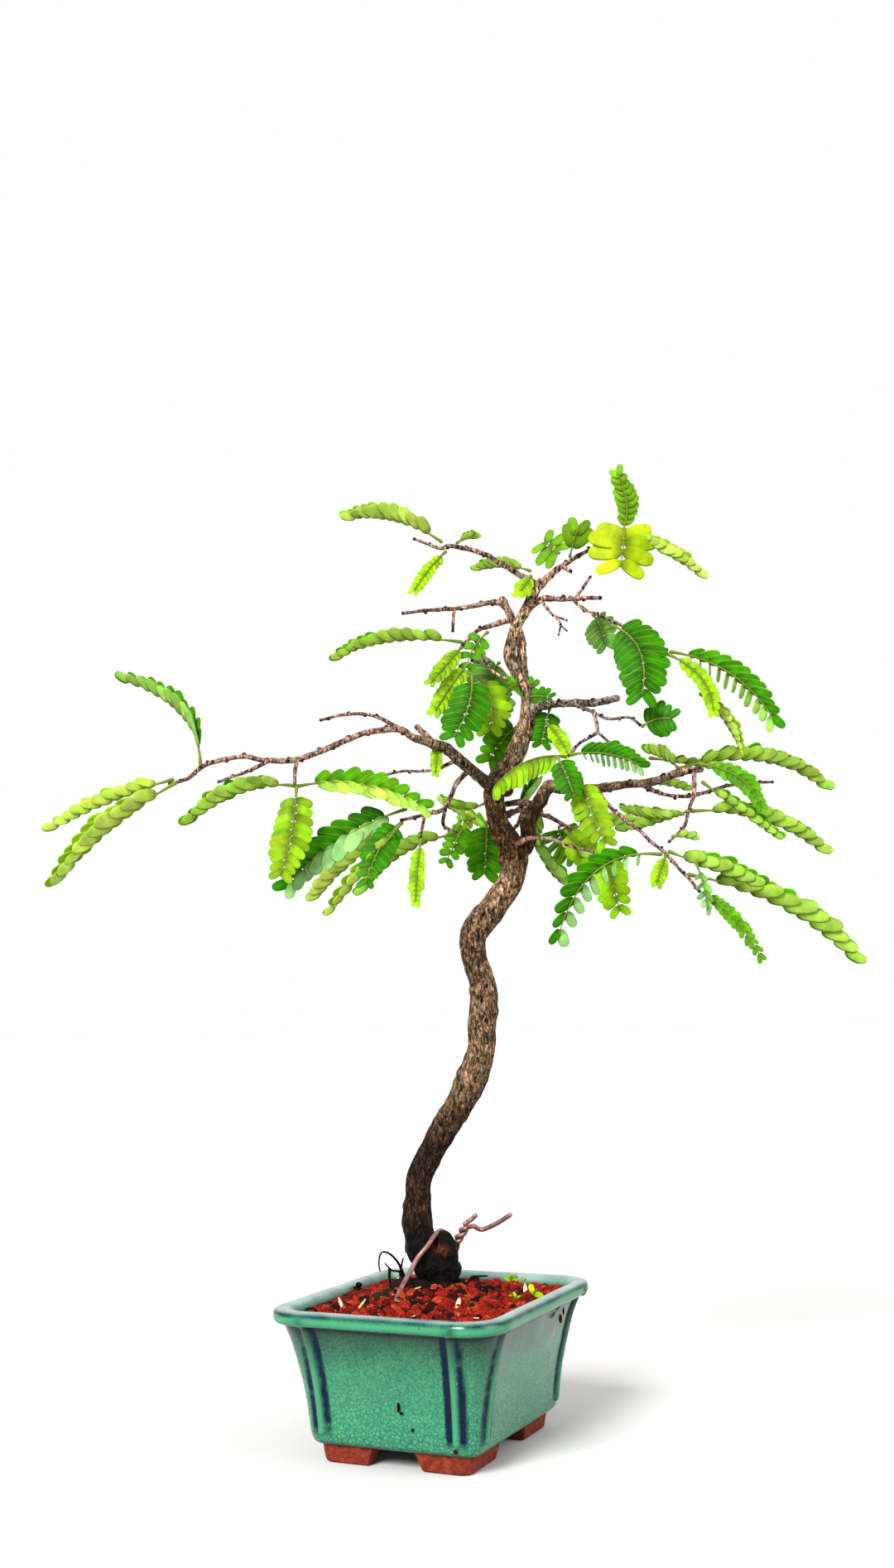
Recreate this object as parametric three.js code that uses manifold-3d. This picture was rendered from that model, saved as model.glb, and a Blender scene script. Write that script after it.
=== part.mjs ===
// A bonsai tree in a glazed rectangular pot. Millimetres, +Z up.
// The pot stands square to the axes, its short side facing -Y; the tree is laid out in a frame of its
// own that is turned about Z. The origin is at the bottom centre of the whole object's box.
import * as THREE from "three";
import { mergeVertices } from "three/addons/utils/BufferGeometryUtils.js";
import Module from "manifold-3d";

const wasm = await Module();
wasm.setup();

// Driving dimensions
const rimHalfWidth = 56; // outer rim, along X
const rimHalfLength = 68; // outer rim, along Y
const rimCornerRadius = 19;
const floorUnderside = 8.2; // height of the feet
const floorTop = 14; // inside floor of the pot
const lengthTaper = 1.1; // the ends lean in a little more than the long sides
const footLegWidth = 9;
const drainHoleRadius = 6;
const drainHoleOffset = 27; // each hole's distance from the middle, along Y
const meshSize = 24;
const meshThickness = 0.8;
const meshBar = 1.4;
const fit = 0.3; // clearance between pieces that rest on each other
const wireRadius = 1;
const twistTurns = 1.75;
const twistRadius = 1.2;
const treeTurn = THREE.MathUtils.degToRad(24); // the tree's frame against the pot's
const soilEdge = 59.5; // soil surface at the wall
const soilMound = 69.5; // soil surface at the trunk
const leafThickness = 1.2; // at the midrib of a blade
const leafFold = THREE.MathUtils.degToRad(28); // how far each row of leaflets hangs from the rachis
const petioleHalf = 0.6;
const petioleShare = 0.12; // bare stalk, as a share of a leaf's length
const leafClearance = 1.7; // from a twig's centre line to the start of a petiole

const material = (colour, roughness, metalness = 0) =>
  new THREE.MeshStandardMaterial({ color: colour, roughness, metalness });

// ---- solids ----

// A closed solid through a list of rings with equal point counts, with fan caps on both ends.
function loft(rings) {
  const n = rings[0].length;
  const positions = rings.flat().flatMap((p) => [p.x, p.y, p.z]);
  const index = [];
  for (let r = 0; r + 1 < rings.length; r++) {
    for (let i = 0; i < n; i++) {
      const a = r * n + i;
      const b = r * n + ((i + 1) % n);
      index.push(a, b, b + n, a, b + n, a + n);
    }
  }
  const last = (rings.length - 1) * n;
  for (let i = 1; i + 1 < n; i++) {
    index.push(0, i + 1, i);
    index.push(last, last + i, last + i + 1);
  }
  const geometry = new THREE.BufferGeometry();
  geometry.setAttribute("position", new THREE.Float32BufferAttribute(positions, 3));
  geometry.setIndex(index);
  return faceOutward(geometry);
}

// Turns a closed geometry's triangles round if its signed volume is negative.
function faceOutward(geometry) {
  const p = geometry.attributes.position;
  const index = geometry.index.array;
  const [a, b, c] = [new THREE.Vector3(), new THREE.Vector3(), new THREE.Vector3()];
  let volume = 0;
  for (let i = 0; i < index.length; i += 3) {
    a.fromBufferAttribute(p, index[i]);
    b.fromBufferAttribute(p, index[i + 1]);
    c.fromBufferAttribute(p, index[i + 2]);
    volume += a.dot(b.cross(c));
  }
  if (volume < 0) {
    for (let i = 0; i < index.length; i += 3) {
      [index[i + 1], index[i + 2]] = [index[i + 2], index[i + 1]];
    }
  }
  return geometry;
}

function toSolid(geometry) {
  const bare = geometry.clone();
  for (const name of Object.keys(bare.attributes)) {
    if (name !== "position") bare.deleteAttribute(name);
  }
  const merged = mergeVertices(bare, 1e-4);
  return new wasm.Manifold(new wasm.Mesh({
    numProp: 3,
    vertProperties: new Float32Array(merged.attributes.position.array),
    triVerts: new Uint32Array(merged.index.array),
  }));
}

// Back to a geometry, keeping only the largest body that a cut has left.
function toGeometry(solid) {
  const largest = solid.decompose().sort((a, b) => b.volume() - a.volume())[0];
  const mesh = largest.getMesh();
  const geometry = new THREE.BufferGeometry();
  geometry.setAttribute("position", new THREE.BufferAttribute(new Float32Array(mesh.vertProperties), 3));
  geometry.setIndex(new THREE.BufferAttribute(new Uint32Array(mesh.triVerts), 1));
  return geometry;
}

const joined = (solids) => solids.reduce((whole, one) => whole.add(one));

// Rings square to a route, each with its own radius. The side direction is carried along the route
// and kept square to it, so the tube doesn't twist.
function tubeRings(points, radii, sides) {
  const rings = [];
  let side = null;
  points.forEach((point, i) => {
    const before = points[Math.max(i - 1, 0)];
    const after = points[Math.min(i + 1, points.length - 1)];
    const along = after.clone().sub(before).normalize();
    if (!side) side = Math.abs(along.z) < 0.9 ? new THREE.Vector3(0, 0, 1) : new THREE.Vector3(0, 1, 0);
    side = side.clone().addScaledVector(along, -side.dot(along)).normalize();
    const other = new THREE.Vector3().crossVectors(along, side);
    const ring = [];
    for (let k = 0; k < sides; k++) {
      const angle = (2 * Math.PI * k) / sides;
      ring.push(point.clone()
        .addScaledVector(side, radii[i] * Math.cos(angle))
        .addScaledVector(other, radii[i] * Math.sin(angle)));
    }
    rings.push(ring);
  });
  return rings;
}

// A route is a list of [x, y, z, radius].
function tube(route, sides, extra = 0) {
  const points = route.map(([x, y, z]) => new THREE.Vector3(x, y, z));
  return toSolid(loft(tubeRings(points, route.map((p) => p[3] + extra), sides)));
}

// ---- pot ----

// The outline of the pot at one height, drawn in from the rim by the given offset.
function potRing(height, offset) {
  const halfWidth = rimHalfWidth - offset;
  const halfLength = rimHalfLength - offset * lengthTaper;
  const radius = Math.max(rimCornerRadius - offset * 0.75, 5);
  const ring = [];
  for (const [sx, sy, from] of [[1, 1, 0], [-1, 1, 90], [-1, -1, 180], [1, -1, 270]]) {
    for (let step = 0; step <= 4; step++) {
      const angle = THREE.MathUtils.degToRad(from + step * 22.5);
      ring.push(new THREE.Vector3(
        sx * (halfWidth - radius) + radius * Math.cos(angle),
        sy * (halfLength - radius) + radius * Math.sin(angle),
        height,
      ));
    }
  }
  return ring;
}

// [height, offset] from the underside up the flared wall, over the rolled lip and down the inside.
const outerProfile = [[8.2, 17.4], [9.4, 15.8], [13, 14.3], [27, 12.6], [42, 9.6], [52, 7], [58.5, 4.6]];
const lipProfile = [[60.6, 3.4], [61.6, 0.8], [63, 0], [65.6, 0], [67, 1.2], [67, 5.4], [66, 7]];
const innerProfile = [[58, 9.8], [42, 15], [27, 18], [16.5, 20.4], [14, 23]];

// The profile's offset at a height, read between its points.
function offsetAt(profile, height) {
  const upper = profile.findIndex(([z]) => z >= height);
  const [z0, d0] = profile[upper - 1];
  const [z1, d1] = profile[upper];
  return d0 + ((d1 - d0) * (height - z0)) / (z1 - z0);
}

// One leg of a foot: a bar against the pot's corner, longer at the top than at the ground.
function footLeg(sx, sy, alongX) {
  const cornerX = 35.5;
  const cornerY = 46.5;
  const [lengthLow, lengthHigh] = alongX ? [22, 27] : [29, 34];
  const rings = [[0, lengthLow, 0], [floorUnderside + 0.6, lengthHigh, 1.4]].map(([z, length, spread]) => {
    const [x0, y0] = [cornerX + spread, cornerY + spread];
    const x1 = alongX ? x0 - length : x0 - footLegWidth;
    const y1 = alongX ? y0 - footLegWidth : y0 - length;
    const chamfer = 3;
    const outline = [[x0, y0 - chamfer], [x0 - chamfer, y0], [x1, y0], [x1, y1], [x0, y1]];
    return outline.map(([x, y]) => new THREE.Vector3(sx * x, sy * y, z));
  });
  return toSolid(loft(rings));
}

// A slim half-round rib that follows the wall beside a corner, on a long or a short face.
function rib(sx, sy, onShortSide) {
  const rings = [14, 20, 27, 35, 42, 52, 58.5, 61.4].map((z, i) => {
    const offset = offsetAt([...outerProfile, ...lipProfile], z);
    const thickness = i === 0 ? 0.6 : 1.4;
    const half = i === 0 ? 0.7 : 1.5;
    const corner = Math.max(rimCornerRadius - offset * 0.75, 5);
    const wallX = rimHalfWidth - offset;
    const wallY = rimHalfLength - offset * lengthTaper;
    const middle = onShortSide ? wallX - corner - 1 : wallY - corner - 1;
    const section = [[-half, -1.5], [half, -1.5], [half, 0.4], [0, thickness], [-half, 0.4]];
    return section.map(([across, out]) => (onShortSide
      ? new THREE.Vector3(sx * (middle + across), sy * (wallY + out), z)
      : new THREE.Vector3(sx * (wallX + out), sy * (middle + across), z)));
  });
  return toSolid(loft(rings));
}

function drainHole(y) {
  const cut = new THREE.CylinderGeometry(drainHoleRadius, drainHoleRadius, 12, 20);
  cut.rotateX(Math.PI / 2);
  cut.translate(0, y, (floorUnderside + floorTop) / 2);
  return toSolid(cut);
}

function potSolid() {
  const profile = [...outerProfile, ...lipProfile, ...innerProfile];
  const parts = [toSolid(loft(profile.map(([z, d]) => potRing(z, d))))];
  for (const sx of [-1, 1]) {
    for (const sy of [-1, 1]) {
      parts.push(footLeg(sx, sy, true), footLeg(sx, sy, false));
      parts.push(rib(sx, sy, true), rib(sx, sy, false));
    }
  }
  return joined(parts).subtract(drainHole(drainHoleOffset)).subtract(drainHole(-drainHoleOffset));
}

// A square of plastic mesh, three openings by three, that lies over a drain hole.
function drainMesh(y) {
  const pitch = (meshSize - meshBar) / 3;
  const bars = [-1.5, -0.5, 0.5, 1.5].flatMap((step) => {
    const lengthwise = new THREE.BoxGeometry(meshBar, meshSize, meshThickness);
    lengthwise.translate(step * pitch, 0, 0);
    const crosswise = new THREE.BoxGeometry(meshSize, meshBar, meshThickness);
    crosswise.translate(0, step * pitch, 0);
    return [toSolid(lengthwise), toSolid(crosswise)];
  });
  return joined(bars).translate([0, y, floorTop + fit + meshThickness / 2]);
}

// ---- wood: routes of [x, y, z, radius] in the tree's frame ----

const trunkRoutes = [
  [[1, 20, 50, 7], [1, 20, 62, 8.2], [1, 20, 70, 8.5], [-2, 20, 78, 8.6], [-6, 20, 85, 8], [-8, 20, 92, 7.2],
    [-9, 19, 100, 6.9], [-9, 18, 107, 6.4], [-8, 17, 117, 5.9], [-2, 15, 129, 6], [5, 14, 141, 6.1],
    [13, 13, 153, 6.5], [19, 12, 166, 6.9], [23, 11, 178, 6.3], [24, 10, 190, 6.7], [25, 10, 203, 6.2],
    [23, 10, 215, 6.2], [20, 11, 227, 5.9], [22, 12, 236, 6.2], [29, 13, 245, 6.4], [36, 14, 254, 6.2],
    [41, 14, 265, 5.8], [41, 14, 275, 6.2], [35, 13, 285, 5], [32, 12, 300, 4.6], [34, 11, 309, 4.8],
    [41, 10, 318, 4.8], [46, 9, 329, 4.4], [49, 8, 339, 4], [49, 8, 350, 2.9], [45, 8, 362, 3],
    [41, 8, 369, 2.6], [41, 8, 375, 2.4], [44, 7, 384, 2.3], [49, 6, 392, 2.5], [54, 5, 402, 2.4],
    [57, 5, 407, 1.8]],
  // the sawn stump beside the trunk's base
  [[2, 20, 68, 8], [3, 19, 80, 6.8], [3, 18, 86, 5.2], [2, 18, 88.5, 2.5]],
  // the thin pale twig at the fork
  [[42, 11, 276, 1.6], [48, 2, 279, 1.1], [58, -4, 278, 1], [69, -10, 273, 0.9], [82, -16, 269, 0.7]],
];

const rootRoutes = [
  [[1, 18, 58, 4], [-14, 8, 52, 2.8], [-26, -2, 42, 1.6], [-32, -8, 34, 0.8]],
  [[2, 20, 56, 4], [18, 14, 50, 2.6], [30, 8, 40, 1.6], [34, 4, 32, 0.8]],
  [[1, 22, 56, 4], [4, 34, 50, 2.6], [2, 43, 42, 1.4], [1, 47, 36, 0.8]],
  [[0, 18, 56, 4], [2, 2, 46, 2.8], [6, -16, 38, 1.8], [8, -28, 32, 0.9]],
];

const limbRoutes = {
  limb_upper_left: [
    [[48, 9, 357, 2.2], [49, 13, 369, 2.1], [48, 13, 381, 2], [43, 11, 389, 1.9], [38, 8, 399, 1.8]],
    [[40, 9, 395, 1.6], [34, 6, 397, 1.3], [15, 0, 393, 1.1], [-11, -8, 389, 0.9]],
    [[14, 0, 393, 0.9], [13, -3, 381, 0.8]],
  ],
  limb_right: [
    [[40, 14, 273, 4.4], [47, 14, 278, 4.2], [49, 13, 288, 3.9], [54, 11, 298, 3.5], [59, 9, 305, 3],
      [64, 6, 304, 2.6], [77, 0, 302, 2.3], [93, -5, 303, 2], [107, -8, 304, 1.9], [120, -12, 308, 1.9],
      [130, -14, 309, 1.8]],
    [[53, 12, 296, 2], [45, 15, 298, 1.7], [38, 20, 298, 1.6]],
    [[127, -14, 309, 1.1], [126, -16, 297, 1], [123, -16, 289, 1], [120, -18, 281, 0.8], [113, -20, 274, 0.7]],
    [[100, -6, 304, 1.3], [114, 2, 299, 1.1], [127, 8, 299, 1], [146, 14, 304, 0.9], [159, 18, 306, 0.8],
      [171, 22, 307, 0.7]],
    [[82, -2, 302, 1.4], [84, -6, 296, 1.2], [90, -14, 288, 1.1], [98, -22, 280, 1], [104, -28, 273, 1],
      [109, -32, 268, 0.9], [117, -38, 257, 0.9], [123, -42, 249, 0.8]],
  ],
  limb_left: [
    [[36, 10, 306, 3.2], [28, 6, 308, 2.8], [19, 0, 314, 2.6], [9, -6, 322, 2.4], [3, -9, 324, 2.2],
      [-7, -13, 327, 1.8], [-13, -16, 330, 1.6], [-27, -20, 329, 1.5], [-44, -24, 322, 1.5],
      [-61, -28, 315, 1.4], [-74, -31, 314, 1.3], [-85, -33, 316, 1.2], [-100, -36, 313, 1.1],
      [-106, -37, 310, 1], [-111, -38, 305, 0.9], [-119, -39, 303, 0.8]],
    [[-74, -31, 314, 1], [-85, -36, 308, 0.9], [-96, -42, 303, 0.8]],
    [[-12, -16, 330, 1.1], [-25, -10, 338, 1], [-39, -6, 340, 0.9], [-52, -2, 338, 0.8]],
    [[-61, -28, 315, 1], [-62, -30, 309, 0.9], [-62, -32, 302, 0.9]],
    [[3, -9, 324, 1.6], [-5, -6, 333, 1.4]],
    [[20, 1, 313, 1.5], [13, 2, 306, 1.2], [8, -2, 294, 1.1], [-2, -8, 290, 1], [-13, -14, 287, 0.9]],
    [[8, -2, 294, 0.9], [7, 2, 286, 0.8], [13, 6, 283, 0.7]],
    [[-2, -8, 290, 0.8], [-4, -14, 279, 0.7]],
    [[14, -3, 317, 1], [0, -2, 312, 0.9], [-14, 4, 313, 0.8], [-27, 10, 311, 0.7]],
  ],
  limb_back: [
    [[35, 14, 291, 1.8], [47, 28, 296, 1.5], [59, 40, 294, 1.3], [73, 50, 288, 1.1]],
    [[47, 28, 296, 1.2], [43, 40, 288, 1], [34, 48, 285, 0.9]],
  ],
  limb_dead: [
    [[50, 7, 342, 2.4], [67, -2, 344, 2], [91, -14, 344, 1.8]],
    [[70, -4, 344, 1.1], [80, -10, 338, 1], [87, -14, 334, 0.9], [96, -18, 334, 0.8], [101, -20, 330, 0.8]],
    [[80, -9.5, 339, 1], [81, -14, 328, 1], [72, -17, 322, 0.9], [67, -20, 316, 0.9]],
    [[81, -14, 328, 0.8], [89, -16, 320, 0.7]],
  ],
  limb_mid_left: [
    [[42, 10, 389, 1.4], [27, 6, 384, 1.2], [18, 2, 375, 1]],
    [[23, 4, 380, 0.9], [31, 0, 363, 0.9], [39, -4, 356, 0.8]],
    [[31, 0, 366, 0.9], [22, -3, 366, 0.8]],
  ],
  limb_upper_right: [
    [[53, 6, 396, 1.8], [58, 4, 398, 1.5], [67, 0, 397, 1.4], [75, -4, 396, 1.2], [85, -8, 395, 0.9]],
    [[74, -4, 397, 1], [81, -2, 407, 0.8]],
    [[71, -3, 397, 1], [77, -6, 390, 0.9], [85, -11, 385, 0.9], [100, -15, 377, 0.8], [115, -20, 366, 0.8]],
    [[57, 4, 397, 0.9], [62, 2, 390, 0.8], [69, 0, 386, 0.6]],
  ],
  limb_top_left: [
    [[55, 4, 405, 1.8], [47, 2, 410, 1.5], [36, -2, 415, 1.4], [29, -4, 419, 1.3], [13, -8, 422, 1.1],
      [7, -9, 421, 0.9], [-5, -12, 425, 0.7]],
  ],
  limb_top_right: [
    [[57, 5, 405, 1.8], [63, 6, 411, 1.5], [72, 8, 418, 1.3], [81, 10, 424, 1], [89, 2, 425, 0.9],
      [95, -6, 426, 0.9]],
    [[68, 7, 415, 1.1], [72, 5, 412, 0.9]],
  ],
};

// ---- leaves: [start, middle, tip, half width, leaflet pairs, facing] in the tree's frame ----

const facings = {
  up: new THREE.Vector3(0, -0.25, 1).normalize(),
  front: new THREE.Vector3(0, -1, 0.15).normalize(),
  side: new THREE.Vector3(-1, -0.3, 0).normalize(),
};

const leafRows = {
  top_left: [
    [[8, -10, 424], [-17, -17, 436], [-40, -25, 430], 8, 13, "up"],
    [[10, -9, 419], [1, -14, 408], [-7, -20, 394], 5, 9, "front"],
    [[52, 10, 414], [37, 13, 421], [22, 16, 417], 7, 9, "up"],
  ],
  top_right: [
    [[67, 14, 424], [61, 17, 430], [55, 19, 433], 8, 4, "front"],
    [[73, 6, 419], [75, 3, 427], [77, 2, 436], 8, 4, "front"],
    [[95, -8, 423], [95, -10, 413], [92, -12, 396], 14, 4, "front"],
    [[96, -5, 428], [98, -2, 445], [94, 2, 465], 6, 10, "side"],
    [[99, -4, 425], [118, -9, 417], [137, -15, 399], 7, 11, "up"],
  ],
  upper_right: [
    [[89.5, -17.5, 379], [102, -28, 361], [98, -33, 332], 13, 11, "front"],
    [[117, -20, 365], [146, -24, 360], [165, -30, 325], 10, 13, "up"],
    [[115, -24, 363], [131, -27, 349], [134, -30, 330], 6, 9, "front"],
  ],
  dead: [
    [[102, -22, 329], [111, -26, 332], [119, -30, 329], 8, 6, "front"],
    [[65, -22, 315], [44, -20, 312], [27, -15, 296], 9, 11, "up"],
    [[68, -22, 316], [87, -26, 318], [104, -30, 308], 8, 11, "up"],
    [[69, -26, 315], [78, -33, 292], [86, -37, 270], 12, 11, "front"],
  ],
  right: [
    [[121, -12, 288], [107, -2, 292], [91, 6, 296], 8, 8, "up"],
    [[125, -14, 289], [162, -6, 290], [194, 4, 270], 10, 12, "up"],
    [[131, -12, 303], [149, -22, 290], [165, -32, 274], 8, 10, "up"],
    [[120, -10, 310], [164, 0, 324], [197, 12, 305], 9, 14, "up"],
    [[129, -18, 311], [148, -27, 303], [155, -34, 286], 8, 9, "front"],
  ],
  right_low: [
    [[107, -33, 267], [74, -42, 261], [55, -50, 222], 10, 12, "up"],
    [[111, -34, 268], [132, -44, 264], [152, -54, 252], 12, 7, "up"],
    [[119, -38, 257], [168, -30, 250], [201, -20, 216], 11, 14, "up"],
    [[124, -43, 248], [138, -50, 236], [149, -58, 216], 6, 11, "up"],
  ],
  fork: [
    [[68, -4, 275], [79, 4, 268], [88, 12, 254], 9, 7, "up"],
  ],
  back: [
    [[66, 46, 289], [70, 56, 281], [86, 66, 270], 10, 8, "up"],
    [[57, 44, 297], [52, 60, 297], [61, 78, 290], 11, 8, "up"],
    [[48, 32, 294], [60, 36, 271], [77, 40, 258], 9, 9, "up"],
    [[34, 46, 283], [28, 44, 272], [26, 42, 258], 14, 7, "front"],
    [[74, 52, 289], [91, 62, 296], [122, 72, 295], 9, 9, "up"],
  ],
  left: [
    [[-105, -38, 312], [-113, -36, 336], [-146, -30, 354], 8, 13, "up"],
    [[-121, -38, 304], [-149, -34, 299], [-178, -28, 285], 8, 12, "up"],
    [[-119, -41, 301], [-151, -50, 288], [-166, -62, 256], 11, 12, "up"],
    [[-63, -33, 302], [-89, -38, 303], [-114, -44, 283], 10, 11, "up"],
    [[-61, -34, 301], [-63, -42, 277], [-69, -46, 255], 10, 11, "front"],
    [[-61, -30, 302], [-30, -26, 312], [5, -22, 289], 10, 12, "up"],
  ],
  left_low: [
    [[-14, -16, 287], [-47, -26, 287], [-70, -38, 246], 11, 14, "up"],
    [[-13, -12, 286], [-44, 0, 273], [-65, 10, 253], 11, 11, "up"],
    [[-13, -18, 285], [-24, -30, 270], [-32, -40, 250], 9, 9, "front"],
    [[-4, -16, 277], [-6, -20, 261], [-7, -24, 244], 5, 11, "front"],
    [[12, 8, 282], [-16, 18, 282], [-37, 28, 253], 10, 11, "up"],
  ],
  mid_left: [
    [[17, 0, 375], [-18, -6, 388], [-47, -14, 365], 8, 13, "up"],
    [[20, -4, 364], [11, -7, 352], [1, -12, 335], 7, 9, "front"],
    [[22, -8, 363], [19, -20, 342], [11, -27, 320], 12, 9, "front"],
    [[44, 16, 339], [34, 26, 337], [25, 34, 317], 10, 8, "up"],
  ],
};

// A pinnate leaf as one closed blade: a stalk, then a lobe on each side for every pair of leaflets.
// Each ring is a flat diamond whose side points hang below the rachis by the fold angle.
function leafGeometry([start, middle, tip, halfWidth, pairs, facing]) {
  const [a, b, c] = [start, middle, tip].map((p) => new THREE.Vector3(...p));
  const control = b.clone().multiplyScalar(2).addScaledVector(a, -0.5).addScaledVector(c, -0.5);
  const rachis = new THREE.QuadraticBezierCurve3(a, control, c);
  const clear = leafClearance / rachis.getLength();
  const stations = [[clear, petioleHalf], [petioleShare, petioleHalf]];
  for (let pair = 0; pair < pairs; pair++) {
    const share = (pair + 0.5) / pairs;
    const width = halfWidth * (0.7 + 0.3 * Math.sin(Math.PI * Math.min(share * 1.15, 1)));
    const at = petioleShare + (1 - petioleShare) * share;
    stations.push([at, width]);
    const notch = pair + 1 < pairs ? width * 0.55 : width * 0.3;
    stations.push([petioleShare + (1 - petioleShare) * ((pair + 1) / pairs), notch]);
  }
  const rings = stations.map(([at, width]) => {
    const centre = rachis.getPointAt(at);
    const along = rachis.getTangentAt(at);
    const across = new THREE.Vector3().crossVectors(along, facings[facing]).normalize();
    const upper = new THREE.Vector3().crossVectors(across, along);
    const reach = width * Math.cos(leafFold);
    const drop = width > petioleHalf ? width * Math.sin(leafFold) : 0;
    const half = leafThickness / 2;
    return [
      centre.clone().addScaledVector(across, reach).addScaledVector(upper, -drop),
      centre.clone().addScaledVector(upper, half),
      centre.clone().addScaledVector(across, -reach).addScaledVector(upper, -drop),
      centre.clone().addScaledVector(upper, -half),
    ];
  });
  return loft(rings);
}

// ---- tie wire, in the pot's frame ----

const fromTree = (x, y, z) => new THREE.Vector3(x, y, z).applyAxisAngle(new THREE.Vector3(0, 0, 1), treeTurn);

// The two ends of one wire wound round each other, from the stump outwards.
function twistStrand(phase) {
  const from = fromTree(9.5, 26, 86);
  const to = fromTree(14.6, 20.6, 94.6);
  const along = to.clone().sub(from).normalize();
  const side = new THREE.Vector3(0, 0, 1).cross(along).normalize();
  const other = new THREE.Vector3().crossVectors(along, side);
  return Array.from({ length: 15 }, (_, i) => {
    const angle = phase + (2 * Math.PI * twistTurns * i) / 14;
    return from.clone().lerp(to, i / 14)
      .addScaledVector(side, twistRadius * Math.cos(angle))
      .addScaledVector(other, twistRadius * Math.sin(angle));
  });
}

const wirePoints = [
  fromTree(35.2, 10, 100.4), fromTree(29, 14, 96.2), fromTree(22, 17.4, 93), fromTree(18, 17.6, 94.6),
  ...twistStrand(0).reverse(),
  fromTree(6.4, 27.6, 87.4), fromTree(3.6, 24, 91.4), fromTree(1.2, 17.6, 92.4), fromTree(-1.6, 11.4, 90.2),
  fromTree(-4, 9.2, 87), fromTree(-8.6, 7.4, 82), fromTree(-12, 4, 76.5), fromTree(-16.5, -5, 69.5),
  fromTree(-19.4, -14, 62), new THREE.Vector3(-8, -23, 48), new THREE.Vector3(-2, -27, 30),
  new THREE.Vector3(0, -27, 16), new THREE.Vector3(0, -27, 10), new THREE.Vector3(0, -25.5, 7.2),
  new THREE.Vector3(0, -23, 6.4), new THREE.Vector3(0, 23, 6.4), new THREE.Vector3(0, 25.5, 7.2),
  new THREE.Vector3(0, 27, 10), new THREE.Vector3(0, 27, 16), new THREE.Vector3(-1, 29, 30),
  new THREE.Vector3(-4, 36, 50), fromTree(13, 39, 67), fromTree(13, 34, 76), fromTree(12, 29.6, 83),
  ...twistStrand(Math.PI),
  fromTree(17, 22, 97.2), fromTree(19, 21.4, 99),
];

function wireSolid(radius) {
  return tube(wirePoints.map((p) => [p.x, p.y, p.z, radius]), 6);
}

// ---- soil ----

function soilSolid() {
  const wall = innerProfile.slice().reverse().filter(([z]) => z < soilEdge);
  const rings = wall.map(([z, d]) => potRing(z === floorTop ? floorTop + fit : z, d + fit + 0.1));
  const edge = potRing(soilEdge, offsetAt([...innerProfile.slice().reverse(), [66, 7]], soilEdge) + fit + 0.1);
  rings.push(edge);
  const crown = fromTree(1, 20, soilMound);
  for (const [share, rise] of [[0.35, 0.25], [0.75, 0.8], [0.9, 1]]) {
    rings.push(edge.map((p) => new THREE.Vector3(
      p.x + (crown.x - p.x) * share,
      p.y + (crown.y - p.y) * share,
      soilEdge + (soilMound - soilEdge) * rise,
    )));
  }
  return toSolid(loft(rings));
}

function meshPocket(y) {
  const size = meshSize + 2 * fit;
  const box = new THREE.BoxGeometry(size, size, 2 * (meshThickness + fit));
  box.translate(0, y, floorTop + fit);
  return toSolid(box);
}

// ---- assembly ----

const object = new THREE.Group();
const tree = new THREE.Group();
tree.rotation.z = treeTurn;
object.add(tree);

function place(group, name, geometry, finish) {
  const mesh = new THREE.Mesh(geometry, finish);
  mesh.name = name;
  group.add(mesh);
}

place(object, "pot", toGeometry(potSolid()), material("#3f8f74", 0.25));
place(object, "drain_mesh_front", toGeometry(drainMesh(-drainHoleOffset)), material("#22252a", 0.6));
place(object, "drain_mesh_back", toGeometry(drainMesh(drainHoleOffset)), material("#22252a", 0.6));
place(object, "tie_wire", toGeometry(wireSolid(wireRadius)), material("#8a5a50", 0.4, 0.9));

const trunkTubes = (extra) => joined([
  ...trunkRoutes.map((route, i) => tube(route, i === 0 ? 8 : 6, extra)),
  ...rootRoutes.map((route) => tube(route, 5, extra)),
]);
place(tree, "trunk", toGeometry(trunkTubes(0)), material("#6b5240", 0.85));

const turned = new THREE.Matrix4().makeRotationZ(treeTurn);
const soil = soilSolid()
  .subtract(trunkTubes(fit + 0.1).transform(turned.elements))
  .subtract(wireSolid(wireRadius + fit + 0.1))
  .subtract(meshPocket(-drainHoleOffset))
  .subtract(meshPocket(drainHoleOffset));
place(object, "soil", toGeometry(soil), material("#8c3a22", 1));

// Each limb stops short of the wood that is already there.
let standing = trunkTubes(fit + 0.1);
for (const [name, routes] of Object.entries(limbRoutes)) {
  const solid = joined(routes.map((route) => tube(route, 6)));
  place(tree, name, toGeometry(solid.subtract(standing)), material("#7a5f4a", 0.85));
  standing = standing.add(joined(routes.map((route) => tube(route, 6, fit + 0.1))));
}

for (const [limb, rows] of Object.entries(leafRows)) {
  rows.forEach((row, i) => {
    place(tree, `leaf_${limb}_${i + 1}`, leafGeometry(row), material("#6f9c2c", 0.5));
  });
}

object.updateMatrixWorld(true);
const box = new THREE.Box3().setFromObject(object, true);
const whole = new THREE.Group();
object.position.set(-(box.min.x + box.max.x) / 2, -(box.min.y + box.max.y) / 2, -box.min.z);
whole.add(object);
whole.updateMatrixWorld(true);

export default whole;
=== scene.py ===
import math
import bpy
import numpy as np
from mathutils import Matrix, Vector


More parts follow.
